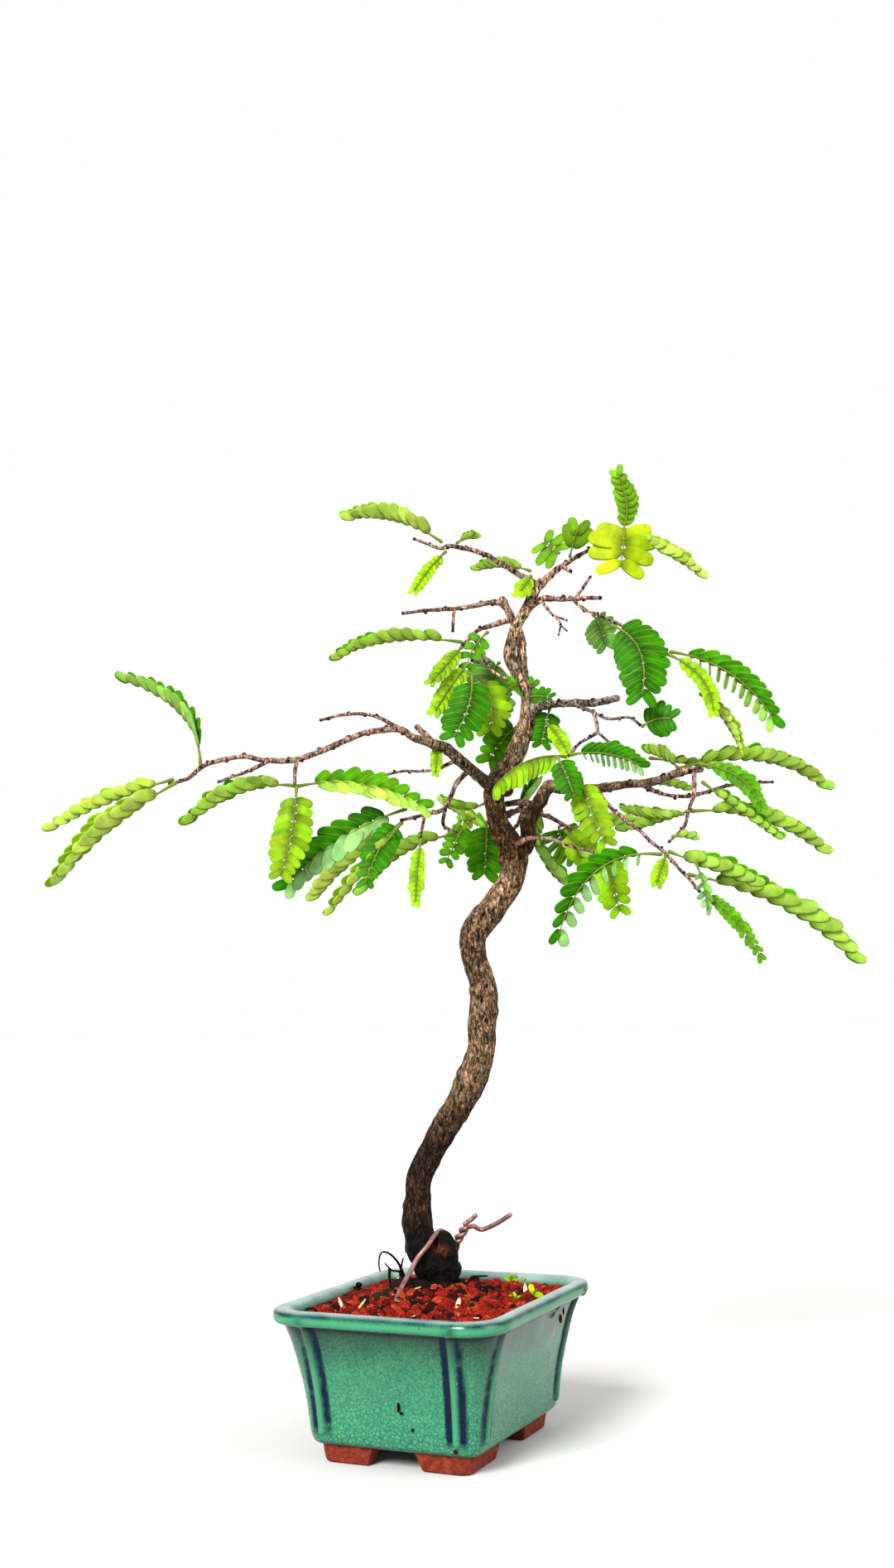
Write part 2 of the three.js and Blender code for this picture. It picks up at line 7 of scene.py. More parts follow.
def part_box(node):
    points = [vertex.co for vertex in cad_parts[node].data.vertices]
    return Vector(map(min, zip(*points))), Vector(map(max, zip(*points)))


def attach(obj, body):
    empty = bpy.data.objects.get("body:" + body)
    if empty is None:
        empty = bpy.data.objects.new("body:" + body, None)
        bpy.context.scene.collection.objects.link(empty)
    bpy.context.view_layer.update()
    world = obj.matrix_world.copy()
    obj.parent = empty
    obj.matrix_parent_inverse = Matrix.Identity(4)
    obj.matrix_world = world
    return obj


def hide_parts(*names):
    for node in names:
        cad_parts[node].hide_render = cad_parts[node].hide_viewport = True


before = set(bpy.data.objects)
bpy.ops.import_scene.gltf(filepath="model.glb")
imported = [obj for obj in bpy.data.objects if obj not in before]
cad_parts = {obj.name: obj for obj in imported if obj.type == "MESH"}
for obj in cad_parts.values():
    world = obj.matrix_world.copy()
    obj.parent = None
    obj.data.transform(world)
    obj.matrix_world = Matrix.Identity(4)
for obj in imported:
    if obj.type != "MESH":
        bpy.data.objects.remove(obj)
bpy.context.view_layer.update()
rng = np.random.default_rng(11)
millimetre = 0.001

potLow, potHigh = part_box("pot")
potCentre = np.array([(potLow[0] + potHigh[0]) / 2, (potLow[1] + potHigh[1]) / 2, 0.0])
treeTurn = math.radians(24)  # the tree's own frame is turned this far on the pot's
turnMatrix = np.array([[math.cos(treeTurn), -math.sin(treeTurn), 0],
                       [math.sin(treeTurn), math.cos(treeTurn), 0],
                       [0, 0, 1]])


def fromPot(points):
    # millimetres in the pot's frame to metres in the shared one
    return np.asarray(points, float) * millimetre + potCentre


def fromTree(points):
    # millimetres in the tree's frame to metres in the shared one
    return np.asarray(points, float) @ turnMatrix.T * millimetre + potCentre


# Colours and materials.
def linear(code):
    # sRGB hex to linear: x / 12.92 below 0.04045, else ((x + 0.055) / 1.055) ^ 2.4
    values = np.array([int(code[i:i + 2], 16) for i in (1, 3, 5)]) / 255
    high = ((values + 0.055) / 1.055) ** 2.4
    return tuple(np.where(values <= 0.04045, values / 12.92, high)) + (1.0,)


def tones(*codes):
    return np.array([linear(code)[:3] for code in codes])


def connect(item, **settings):
    # small-letter names are the node's own properties; capitalised names, and _0 or _1, are its inputs
    for key, value in settings.items():
        if key[0].islower():
            setattr(item, key, value)
            continue
        socket = item.inputs[int(key[1:]) if key[0] == "_" else key.replace("_", " ")]
        if isinstance(value, bpy.types.NodeSocket):
            item.id_data.links.new(value, socket)
        else:
            socket.default_value = value
    return item


def addNode(tree, kind, give=0, **settings):
    # adds one shader node, and gives its output of that name or number
    return connect(tree.nodes.new("ShaderNode" + kind), **settings).outputs[give]


def rampNode(tree, source, stops):
    ramp = addNode(tree, "ValToRGB", Fac=source)
    elements = ramp.node.color_ramp.elements
    for i, (place, colour) in enumerate(stops):
        stop = elements[i] if i < 2 else elements.new(place)
        stop.position = place
        stop.color = linear(colour) if isinstance(colour, str) else (colour, colour, colour, 1)
    return ramp


def mixColour(tree, mode, amount, first, second):
    # amount and both colours may be sockets or plain values
    return addNode(tree, "Mix", 2, data_type="RGBA", blend_type=mode, _0=amount, _6=first, _7=second)


def startMaterial(name, **sockets):
    made = bpy.data.materials.new(name)
    made.use_nodes = True
    tree = made.node_tree
    return made, tree, connect(tree.nodes["Principled BSDF"], **sockets)


def noiseMaterial(name, scale, stops, bump=None, tinted=False, detail=4.0, grain=0.5, **sockets):
    # one noise colours the surface, or shades each vertex's own tint; bump is its strength and depth
    made, tree, shader = startMaterial(name, **sockets)
    place = addNode(tree, "TexCoord", "Object")
    pattern = addNode(tree, "TexNoise", Scale=scale, Detail=detail, Roughness=grain, Vector=place)
    tone = rampNode(tree, pattern, stops)
    if tinted:
        tone = mixColour(tree, "MULTIPLY", 1.0, addNode(tree, "Attribute", attribute_name="tint"), tone)
    connect(shader, Base_Color=tone)
    if bump:
        connect(shader, Normal=addNode(tree, "Bump", Strength=bump[0], Distance=bump[1], Height=pattern))
    return made


# Meshes.
def addObject(name, data):
    made = bpy.data.objects.new(name, data)
    bpy.context.scene.collection.objects.link(made)
    return made


def meshPiece(name, surface, material, smooth=True, attribute="tint"):
    # surface: vertices, a list of integer arrays with one row for each face, colours and uvs by vertex
    verts, faces, colours, uvs = (*surface, None, None)[:4]
    mesh = bpy.data.meshes.new(name)
    sizes = np.concatenate([np.full(len(f), f.shape[1]) for f in faces])
    corners = np.concatenate([f.ravel() for f in faces]).astype(np.int32)
    starts = np.concatenate([[0], np.cumsum(sizes)[:-1]]).astype(np.int32)
    mesh.vertices.add(len(verts))
    mesh.vertices.foreach_set("co", np.asarray(verts, np.float32).ravel())
    mesh.loops.add(len(corners))
    mesh.loops.foreach_set("vertex_index", corners)
    mesh.polygons.add(len(sizes))
    mesh.polygons.foreach_set("loop_start", starts)
    mesh.polygons.foreach_set("loop_total", sizes.astype(np.int32))
    mesh.polygons.foreach_set("use_smooth", np.full(len(sizes), smooth))
    if colours is not None:
        full = np.ones((len(verts), 4), np.float32)
        full[:, :colours.shape[1]] = colours
        layer = mesh.color_attributes.new(attribute, "FLOAT_COLOR", "POINT")
        layer.data.foreach_set("color", full.ravel())
    if uvs is not None:
        layer = mesh.uv_layers.new(name="UVMap")
        layer.data.foreach_set("uv", uvs[corners].astype(np.float32).ravel())
    mesh.update()
    mesh.validate()
    mesh.materials.append(material)
    piece = addObject(name, mesh)
    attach(piece, "root")
    return piece


def closedGrid(points, low, high):
    # rows of points, each closed on itself, with a fan from the first and the last row to a pole each
    rows, columns = points.shape[:2]
    r, c = np.meshgrid(np.arange(rows - 1), np.arange(columns), indexing="ij")
    here, there = r * columns + c, r * columns + (c + 1) % columns
    quads = np.stack([here, there, there + columns, here + columns], -1).reshape(-1, 4)
    c, pole = np.arange(columns), np.full(columns, rows * columns)
    n, last = (c + 1) % columns, (rows - 1) * columns
    fans = np.concatenate([np.stack([pole, n, c], -1), np.stack([pole + 1, last + c, last + n], -1)])
    return np.vstack([points.reshape(-1, 3), low, high]), [quads, fans]


def withHeight(flat, height):
    return np.concatenate([flat, height], -1)


def band(values, middle, width, power=2):
    # 1 in the middle, fading out on both sides: e ^ -((value - middle) / width) ^ power
    return np.exp(-((values - middle) / width) ** power)


def latticeNoise(points, size, seed):
    # value noise: random numbers on a lattice of the given size, blended by s = t * t * (3 - 2 t)
    table = np.random.default_rng(seed).uniform(-1, 1, 4096)
    place = np.asarray(points) / size
    cell = np.floor(place).astype(np.int64)
    t = place - cell
    t = t * t * (3 - 2 * t)
    total = 0
    for step in np.ndindex(2, 2, 2):
        corner = (cell + step) * [73856093, 19349663, 83492791]
        weight = np.abs(1 - np.array(step) - t).prod(-1)
        total = total + weight * table[np.bitwise_xor.reduce(corner, -1) % 4096]
    return total


def routeLength(route):
    return np.linalg.norm(np.diff(np.array(route)[:, :3], axis=0), axis=1).sum()


def smoothRoute(points, count):
    # Catmull-Rom curve through the points, sampled evenly by length; every column is blended alike
    p = np.asarray(points, float)
    ends = np.vstack([2 * p[0] - p[1], p, 2 * p[-1] - p[-2]])
    t = np.linspace(0, len(p) - 1, 24 * len(p))
    i = np.minimum(t.astype(int), len(p) - 2)
    f = (t - i)[:, None]
    a, b, c, d = ends[i], ends[i + 1], ends[i + 2], ends[i + 3]
    square, cube = 2 * a - 5 * b + 4 * c - d, 3 * b - a - 3 * c + d
    curve = 0.5 * (2 * b + (c - a) * f + square * f ** 2 + cube * f ** 3)
    run = np.concatenate([[0], np.cumsum(np.linalg.norm(np.diff(curve[:, :3], axis=0), axis=1))])
    even = np.linspace(0, run[-1], count)
    return np.stack([np.interp(even, run, curve[:, k]) for k in range(p.shape[1])], 1)


def unit(vectors):
    return vectors / np.maximum(np.linalg.norm(vectors, axis=-1, keepdims=True), 1e-12)


def carriedFrames(path):
    # tangents, and side vectors carried along the path and kept square to it
    along = unit(np.gradient(path, axis=0))
    side = np.array([0.0, 0, 1]) if abs(along[0, 2]) < 0.9 else np.array([0.0, 1, 0])
    sides = []
    for tangent in along:
        side = side - side @ tangent * tangent
        side = side / np.linalg.norm(side)
        sides.append(side)
    sides = np.array(sides)
    return along, sides, np.cross(along, sides)


def tubeSurface(path, radii, sides, roughness=None):
    # point(i, angle) = path(i) + radius(i) * (side * cos(angle) + other * sin(angle)), closed by domed ends
    along, side, other = carriedFrames(path)
    bend = np.radians([18, 40, 65])
    dome, reach = np.sin(bend), np.cos(bend)
    head = path[0] - along[0] * radii[0] * reach[:, None]
    tail = path[-1] + along[-1] * radii[-1] * reach[::-1, None]
    path = np.vstack([head, path, tail])
    radii = np.concatenate([radii[0] * dome, radii, radii[-1] * dome[::-1]])
    side, other = (np.vstack([v[:1]] * 3 + [v] + [v[-1:]] * 3)[:, None] for v in (side, other))
    angle = np.linspace(0, 2 * math.pi, sides, endpoint=False)[:, None]
    out = side * np.cos(angle) + other * np.sin(angle)
    points = path[:, None] + radii[:, None, None] * out
    if roughness is not None:
        points = points + out * roughness(points, radii[:, None])[..., None]
    low = path[0] - along[0] * (radii[0] * 0.3)
    high = path[-1] + along[-1] * (radii[-1] * 0.3)
    return closedGrid(points, low, high)


def joinSurfaces(parts):
    # parts: vertices, faces and colours; gives one set with the indices moved on
    allFaces, start = [], 0
    for verts, faces, _ in parts:
        allFaces += [f + start for f in faces]
        start += len(verts)
    return np.vstack([part[0] for part in parts]), allFaces, np.vstack([part[2] for part in parts])


def tinted(surface, code):
    # the same tone at every vertex
    verts, faces = surface
    return verts, faces, np.repeat(tones(code), len(verts), 0)


# The pot, in millimetres on its own axes.
pot = {
    "rimHalfWidth": 56, "rimHalfLength": 68, "cornerRadius": 19, "lengthTaper": 1.1, "radiusTaper": 0.75,
    "ribHalf": 1.7, "ribHeight": 1.5, "ribInset": 1.2, "ribFoot": 13, "ribTop": 61, "wallTop": 61.5,
    "outerRows": 96, "innerRows": 50, "drainHoleRadius": 6, "drainHoleOffset": 27, "drainCut": (5, 17),
}
# height and distance in from the rim, up the flared wall, over the rolled lip and down inside
potOutside = [(8.2, 20), (8.25, 17.6), (8.9, 16.2), (10.4, 15.2), (14, 14.2), (20, 13.5), (27, 12.6),
              (35, 11.2), (42, 9.6), (48, 8.1), (53, 6.7), (57.5, 5), (60.3, 3.8), (60.9, 2.9), (61, 1.6),
              (61.5, 0.5), (62.6, -0.1), (64.2, -0.2), (65.6, 0.1), (66.6, 0.8), (67, 1.9)]
potInside = [(67, 5.6), (66.7, 6.6), (65.8, 7.3), (64, 7.8), (60, 9), (55, 10.8), (48, 13), (42, 15),
             (34, 16.8), (27, 18), (20, 19.4), (16, 20.8), (14.4, 22.6), (14, 25)]


def cornerRadius(offset):
    return np.maximum(pot["cornerRadius"] - offset * pot["radiusTaper"], 3)


def potOutline(offsets, arcSteps, sideSteps):
    # one closed rounded rectangle for each offset: four corner arcs, and straight sides whose steps are
    # close together next to the corners, where the ribs are
    offset = np.asarray(offsets, float)[:, None]
    radius = cornerRadius(offset)
    straightX = pot["rimHalfWidth"] - offset - radius
    straightY = pot["rimHalfLength"] - offset * pot["lengthTaper"] - radius
    arc = np.linspace(0, math.pi / 2, arcSteps)
    dense = 0.26
    half = np.concatenate([np.linspace(0, dense, sideSteps)[1:], np.linspace(dense, 0.5, 8)[1:]])
    share = np.concatenate([half, 1 - half[::-1][1:]])[None, :, None]
    loops = []
    for corner, (sx, sy) in enumerate([(1, 1), (-1, 1), (-1, -1), (1, -1)]):
        angle = arc + corner * math.pi / 2
        x, y = sx * straightX + radius * np.cos(angle), sy * straightY + radius * np.sin(angle)
        loops.append(np.stack([x, y], -1))
    ring = []
    for here, there in zip(loops, loops[1:] + loops[:1]):
        ring += [here, here[:, -1:] * (1 - share) + there[:, :1] * share]
    return np.concatenate(ring, 1)


def ribPlaces(height):
    # distance of each rib's middle from the pot's middle, on the short and the long sides
    offset = np.interp(height, [z for z, _ in potOutside[:18]], [d for _, d in potOutside[:18]])
    inset = cornerRadius(offset) + pot["ribInset"]
    return pot["rimHalfWidth"] - offset - inset, pot["rimHalfLength"] - offset * pot["lengthTaper"] - inset


def cutHole(piece, x, y):
    # drills an upright hole through the floor
    angle = np.linspace(0, 2 * math.pi, 40, endpoint=False)
    circle = np.stack([np.cos(angle), np.sin(angle), 0 * angle], -1) * pot["drainHoleRadius"]
    levels = np.array([[x, y, z] for z in pot["drainCut"]])
    verts, faces = closedGrid(circle + levels[:, None], *levels)
    mesh = bpy.data.meshes.new("drainCut")
    mesh.from_pydata(fromPot(verts).tolist(), [], sum((f.tolist() for f in faces), []))
    cutter = addObject("drainCut", mesh)
    cut = piece.modifiers.new("drain", "BOOLEAN")
    cut.operation, cut.solver, cut.object = "DIFFERENCE", "EXACT", cutter
    bpy.context.view_layer.objects.active = piece
    bpy.context.view_layer.update()
    with bpy.context.temp_override(object=piece, active_object=piece):
        bpy.ops.object.modifier_apply(modifier=cut.name)
    bpy.data.objects.remove(cutter)


# middle and width in millimetres of each band of glaze: by height, and beside a rib by the way across
glazeBands = {
    "underLip": (60.2, 1.0), "lipFold": (65.8, 0.85), "foot": (9.2, 0.7), "thinOnLip": (63.6, 1.6),
    "besideRib": (3.3, 1.75), "alongRib": (1.75, 0.35), "runOnLip": (0.5, 3.2),
}


def makePot(glaze):
    outer, inner = smoothRoute(potOutside, pot["outerRows"]), smoothRoute(potInside, pot["innerRows"])
    profile = np.vstack([outer, inner])
    height, offset = profile[:, :1], profile[:, 1]
    ring = potOutline(offset, 15, 34)
    points = withHeight(ring, np.repeat(height[:, None], ring.shape[1], 1))
    # outward direction along the ground, from the ring's own tangent
    tangent = np.roll(ring, -1, 1) - np.roll(ring, 1, 1)
    out = unit(np.stack([tangent[..., 1], -tangent[..., 0], 0 * tangent[..., 0]], -1))
    outside = (np.arange(len(points)) < pot["outerRows"])[:, None]
    onShort, onLong = ribPlaces(height)
    onShortSide = np.abs(out[..., 1]) > np.abs(out[..., 0])
    away = np.where(onShortSide, np.abs(points[..., 0]) - onShort, np.abs(points[..., 1]) - onLong)
    # a rib is half a circle across, and ends in a rounded foot
    foot = np.clip((height - pot["ribFoot"]) / pot["ribHalf"], 0, 1)
    top = np.clip((pot["ribTop"] + 1.5 - height) / 2, 0, 1)
    reach = pot["ribHalf"] * np.sqrt(np.clip(1 - (1 - foot) ** 2, 0, 1))
    rise = np.sqrt(np.clip(1 - (away / np.maximum(reach, 1e-3)) ** 2, 0, 1)) * pot["ribHeight"] * top
    upWall = outside & (height < pot["wallTop"])
    wobble = latticeNoise(points, 14, 3) * 0.25 + latticeNoise(points, 5, 4) * 0.07
    points = points + out * (np.where(upWall, rise * (foot > 0), 0) + wobble)[..., None]
    # red channel: navy glaze pooled beside the ribs, in the folds, under and on the lip, and at the foot
    beside = band(np.abs(away), *glazeBands["besideRib"], 4) * (height > 10) * (height < 61)
    runs = 1.0 + 0.55 * latticeNoise(points * [1, 1, 0.2], 6, 5) + 0.4 * latticeNoise(points, 2.2, 6)
    onLip = band(away, *glazeBands["runOnLip"]) * (height > 60) * (height < 66.5)
    pools = np.broadcast_arrays(
        np.clip(beside * runs * np.clip((height - 11) / 6, 0, 1) * 1.25, 0, 1),
        band(height, *glazeBands["underLip"]) * (0.75 + 0.3 * latticeNoise(points, 9, 7)),
        0.55 * band(np.abs(away), *glazeBands["alongRib"]) * (height > 12.5) * upWall,
        0.95 * band(height, *glazeBands["lipFold"]) * (0.8 + 0.4 * latticeNoise(points, 6, 8)),
        onLip * np.clip(0.5 + 1.2 * latticeNoise(points, 3.5, 9), 0, 0.9),
        0.6 * band(height, *glazeBands["foot"]))
    navy = np.where(outside, np.maximum.reduce(pools), np.clip((64.5 - height) / 3, 0, 0.75))
    # green channel: thin pale glaze on the rim, and a painted reflection on one long side, as pale upright
    # streaks
    pale = np.where(outside, np.clip((height - 66.2) / 0.8, 0, 1), np.clip((height - 63) / 3, 0, 1))
    paintedReflection = np.clip((latticeNoise(points * [1, 1, 0.3], 3.4, 10) - 0.2) * 3, 0, 1) * outside
    paintedReflection = paintedReflection * np.clip((points[..., 1] - 8) / 22, 0, 1) * (points[..., 0] > 30) * ~onShortSide
    pale = np.maximum(pale, 0.85 * paintedReflection * np.clip((height - 28) / 12, 0, 1) * (height < 60))
    # blue channel: the cellular mottle, strongest low down; alpha: glaze broken thin on ribs and lip
    mottle = np.clip(1.15 - (height - 8) / 34, 0.15, 1) * outside
    crest = np.clip(rise / pot["ribHeight"], 0, 1) * upWall * 0.8
    crest = np.maximum(crest, band(height, *glazeBands["thinOnLip"]) * outside)
    colours = np.clip(np.stack(np.broadcast_arrays(navy, pale, mottle, crest), -1), 0, 1)
    colours = np.vstack([colours.reshape(-1, 4), [0, 0, 0, 0], [0, 0.4, 0, 0]])
    verts, faces = closedGrid(points, [0, 0, height[0, 0]], [0, 0, height[-1, 0]])
    surface = fromPot(verts), faces, colours
    piece = meshPiece("potBody", surface, glaze, attribute="glaze")
    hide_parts("pot")
    for side in (-1, 1):
        cutHole(piece, 0, side * pot["drainHoleOffset"])


feet = {
    "outer": (35.5, 46.5), "legs": (22, 29), "legSlope": 5, "splay": 1.4, "width": 9, "height": 8.8,
    "cornerRadius": 5, "capInset": 6, "endBulge": 0.4, "endRounding": 1.2, "unevenness": 0.18,
    # height above the ground, and how far the sides are drawn in there
    "levels": [(0.0, 0.9), (0.25, 0.35), (0.8, 0.0), (4.5, 0.0), (8.9, 0.0)],
}


def makeFeet(clay):
    # each foot is an L in plan with a rounded outer corner, and its two legs get shorter towards the ground
    parts = []
    outer, legs, bend = np.array(feet["outer"]), np.array(feet["legs"]), np.radians(np.linspace(0, 90, 9))
    bulge, turn, r = feet["endBulge"], feet["endRounding"], feet["cornerRadius"]
    for sx in (-1, 1):
        for sy in (-1, 1):
            rings = []
            for z, inset in feet["levels"]:
                x, y = outer + feet["splay"] * z / feet["height"] - inset
                endX, endY = (x, y) - (legs + feet["legSlope"] * z / feet["height"] - 2 * inset)
                backX, backY = x - feet["width"] + 2 * inset, y - feet["width"] + 2 * inset
                corner = np.stack([x - r + r * np.cos(bend), y - r + r * np.sin(bend)], -1)
                inner = [[endX, y], [endX - bulge, y - turn], [endX - bulge, backY + turn], [endX, backY],
                         [backX, backY], [backX, endY], [backX + turn, endY - bulge],
                         [x - turn, endY - bulge], [x, endY]]
                outline = np.vstack([corner, inner]) * [sx, sy]
                rings.append(withHeight(outline, np.full((len(outline), 1), z)))
            rings = np.array(rings)
            uneven = np.stack([latticeNoise(rings, 3, 8), latticeNoise(rings, 3, 9)], -1)
            rings[..., :2] += feet["unevenness"] * uneven
            # the caps close on a point near the inner bend, because every point of the L is seen from there
            pole = (outer - feet["capInset"]) * [sx, sy]
            verts, faces = closedGrid(rings, [*pole, feet["levels"][0][0]], [*pole, feet["levels"][-1][0]])
            if sx * sy < 0:
                faces = [f[:, ::-1] for f in faces]
            parts.append((fromPot(verts), faces, np.ones((len(verts), 3))))
    piece = meshPiece("potFeet", joinSurfaces(parts)[:2], clay, smooth=False)
    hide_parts("pot")


def glazeMaterial():
    # Stoneware with a running copper-green glaze, fired glossy: it breaks pale on edges, pools navy
    # in hollows, and shows a cellular mottle of about 2 mm low down.
    made, tree, shader = startMaterial("copperGreenGlaze", Roughness=0.18, IOR=1.38, Coat_Weight=0.08,
                                       Coat_Roughness=0.05)
    place = addNode(tree, "TexCoord", "Object")
    height = addNode(tree, "SeparateXYZ", "Z", Vector=place)
    masks = addNode(tree, "Attribute", attribute_name="glaze")
    navy, pale, mottle = addNode(tree, "SeparateColor", Color=masks).node.outputs
    warp = addNode(tree, "TexNoise", "Color", Scale=300.0, Detail=3.0, Vector=place)
    shift = addNode(tree, "VectorMath", operation="MULTIPLY_ADD", _0=warp, _1=(0.0016,) * 3, _2=place)
    cells = addNode(tree, "TexVoronoi", feature="DISTANCE_TO_EDGE", Scale=1 / 0.0018, Vector=shift)
    cloud = addNode(tree, "TexNoise", Scale=70.0, Detail=5.0, Roughness=0.6, Vector=place)
    fine = addNode(tree, "TexNoise", Scale=900.0, Detail=4.0, Roughness=0.7, Vector=place)
    body = rampNode(tree, cloud, [(0.3, "#0d4c42"), (0.7, "#317750"), (0.5, "#1c6048")])
    body = mixColour(tree, "MIX", 0.5, body, rampNode(tree, fine, [(0.36, "#06382f"), (0.66, "#4a9968")]))
    web = rampNode(tree, cells, [(0.02, 1.0), (0.26, 0.0)])
    cellular = mixColour(tree, "MIX", web, linear("#3a8a52"), linear("#064a4c"))
    cellShare = addNode(tree, "Math", operation="MULTIPLY", _0=mottle, _1=0.7)
    body = mixColour(tree, "MIX", cellShare, body, cellular)
    body = mixColour(tree, "MIX", masks.node.outputs["Alpha"], body, linear("#2f7a54"))
    # the green channel brings in the pale rim glaze, and also the painted reflection streaks on one long
    # side
    body = mixColour(tree, "MIX", pale, body, rampNode(tree, cloud, [(0.3, "#566c66"), (0.75, "#7d9692")]))
    # painted shade: darker up the wall under the lip's overhang, but not on the lip
    under = addNode(tree, "MapRange", Value=height, From_Min=0.04, From_Max=0.06, To_Min=1.0, To_Max=0.24)
    onLip = addNode(tree, "Math", operation="GREATER_THAN", _0=height, _1=0.0612)
    paintedLipShade = addNode(tree, "Math", operation="MAXIMUM", _0=under, _1=onLip)
    body = mixColour(tree, "MULTIPLY", 1.0, body, paintedLipShade)
    # the pooled navy is a duller, less mirror-like skin than the green
    body = mixColour(tree, "MIX", navy, body, rampNode(tree, fine, [(0.3, "#000814"), (0.75, "#031f38")]))
    mirror = addNode(tree, "MapRange", Value=navy, To_Min=0.5, To_Max=0.14)
    # pinholes and iron specks, up to about 1.3 mm across
    specks = addNode(tree, "TexVoronoi", Scale=1 / 0.011, Vector=place)
    dots = rampNode(tree, specks, [(0.035, 1.0), (0.06, 0.0)])
    body = mixColour(tree, "MIX", dots, body, linear("#2b1d14"))
    ripple = addNode(tree, "Bump", Strength=0.18, Distance=0.0004, Height=cloud)
    ripple = addNode(tree, "Bump", Strength=0.12, Distance=0.00012, Height=cells, Normal=ripple)
    connect(shader, Base_Color=body, Specular_IOR_Level=mirror, Normal=ripple)
    return made


makePot(glazeMaterial())
# Unglazed red stoneware, wiped with a damp sponge: matte, with dark and pale streaks of about 3 mm.
makeFeet(noiseMaterial("redStoneware", 320.0, [(0.25, "#340b04"), (0.78, "#863a1e"), (0.5, "#621c09")],
                       (0.4, 0.0003), detail=6.0, grain=0.65, Roughness=0.72, Specular_IOR_Level=0.2))
print("pot made")


# The soil, in millimetres on the pot's axes.
soil = {
    "edgeHeight": 61.2, "moundHeight": 68.3, "mound": (1, 20), "wallHalf": (47, 58), "bedDrop": 1.6,
    "insideHalf": (48.4, 59.4), "insideCorner": 12.5, "bedHeights": [14.6, 17, 25, 35, 45, 53, 59],
}
granules = {
    "pitch": 4.4, "rowShare": 0.87, "reach": (48, 58), "jitter": 0.28, "margin": 1.6, "halfSize": 3.15,
    "sizeSpread": (0.62, 1.18), "stretch": (0.72, 1.18), "lumps": 0.42, "heightSpread": 0.7,
    # a looser layer of smaller grains lies on the first
    "looseCount": 420, "looseReach": (47, 58), "looseSize": 0.7, "layerHeights": (-0.2, 0.9),
    # darker near the trunk, and lower right beside it
    "darkReach": 17, "blackReach": 13, "hollowReach": 10, "hollowDepth": 2.2,
    "tones": ("#9c2410", "#86190a", "#5c0e07", "#a83a1c", "#2c0705", "#0e0605"),
    "shares": [0.3, 0.26, 0.17, 0.13, 0.09, 0.05],
}
straw = {
    "count": 22, "reach": (42, 52), "margin": 3, "fromTrunk": 11, "tilt": 0.5, "thickness": 0.5,
    # for a long straw, then for a chip
    "heights": (2.6, 2.0), "halfWidths": (1.05, 0.4), "halfLengths": ((3.4, 5), (1, 2.4)), "lift": (0.6, 0),
    "tones": ("#d8b36a", "#e3cf9a", "#c08a4c"),
    # long straws placed one by one, in the tree's frame
    "long": [[-42.8, -20, 0], [-34.6, -25, 0], [-22.4, 14, 0], [-10.6, -1, 0], [42, 14, 0], [10, -30, 0]],
}
moundCentre = (turnMatrix @ np.array([*soil["mound"], 0.0]))[:2]


def toTrunk(x, y):
    return np.hypot(x - moundCentre[0], y - moundCentre[1])


def soilHeight(x, y):
    # highest at the trunk; falls towards the wall with the share of the way out, with broad low lumps
    shares = []
    for value, middle, wall in zip((x, y), moundCentre, soil["wallHalf"]):
        reach = np.where(value > middle, wall - middle, wall + middle)
        shares.append(np.abs(value - middle) / reach)
    fall = np.interp(np.clip(np.maximum(*shares), 0, 1), [0, 0.1, 0.25, 0.65, 1], [1, 1, 0.8, 0.25, 0])
    lumps = latticeNoise(np.stack([x, y, 0 * x], -1), 13, 12) * 0.8
    return soil["edgeHeight"] + (soil["moundHeight"] - soil["edgeHeight"]) * fall + lumps


def makeBed(material):
    # closed bed: up the inside of the wall, then in over the mound to its middle
    heights = np.array(soil["bedHeights"])
    wall = potInside[:2:-1]
    offsets = np.interp(heights, [z for z, _ in wall], [d for _, d in wall]) + 0.5
    ring = potOutline(offsets, 9, 10)
    side = withHeight(ring, np.repeat(heights[:, None, None], ring.shape[1], 1))
    shares = np.linspace(0.015, 0.97, 30)[:, None, None]
    top = ring[-1:] * (1 - shares) + moundCentre * shares
    level = soilHeight(top[..., 0], top[..., 1]) - soil["bedDrop"]
    level = level + latticeNoise(withHeight(top, 0 * top[..., :1]), 4, 13) * 0.7
    points = np.concatenate([side, withHeight(top, level[..., None])])
    poles = [0, 0, heights[0]], [*moundCentre, soil["moundHeight"] - soil["bedDrop"]]
    verts, faces = closedGrid(points, *poles)
    piece = meshPiece("soilBed", (fromPot(verts), faces), material)
    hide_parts("soil")


def roundedBall(detail):
    # unit sphere by latitude and longitude: detail rows, twice as many columns, a pole at each end
    lat = np.linspace(-math.pi / 2, math.pi / 2, detail + 2)[1:-1, None]
    lon = np.linspace(0, 2 * math.pi, 2 * detail, endpoint=False)
    grid = np.stack([np.cos(lat) * np.cos(lon), np.cos(lat) * np.sin(lon), np.sin(lat) + 0 * lon], -1)
    return closedGrid(grid, [0, 0, -1], [0, 0, 1])


def copies(faces, count, size, start=0):
    # the faces of one item, repeated for items of size vertices each
    offset = (np.arange(count) * size)[:, None, None] + start
    return [(f[None] + offset).reshape(-1, f.shape[1]) for f in faces]


def scatter(name, template, centres, axes, colours, material, lumps=0.0):
    # vertex = centre + template vertex in the item's own axes, pushed in and out by lattice noise
    verts, faces = template
    count, size = len(centres), len(verts)
    shape = np.repeat(verts[None], count, 0)
    if lumps:
        seeds = rng.uniform(0, 900, (count, 1, 3))
        shape = shape * (1 + lumps * latticeNoise(shape + seeds, 0.85, 14)[..., None])
    placed = (centres[:, None] + np.einsum("nij,nkj->nki", axes, shape)).reshape(-1, 3)
    meshPiece(name, (placed, copies(faces, count, size), np.repeat(colours, size, 0)), material)


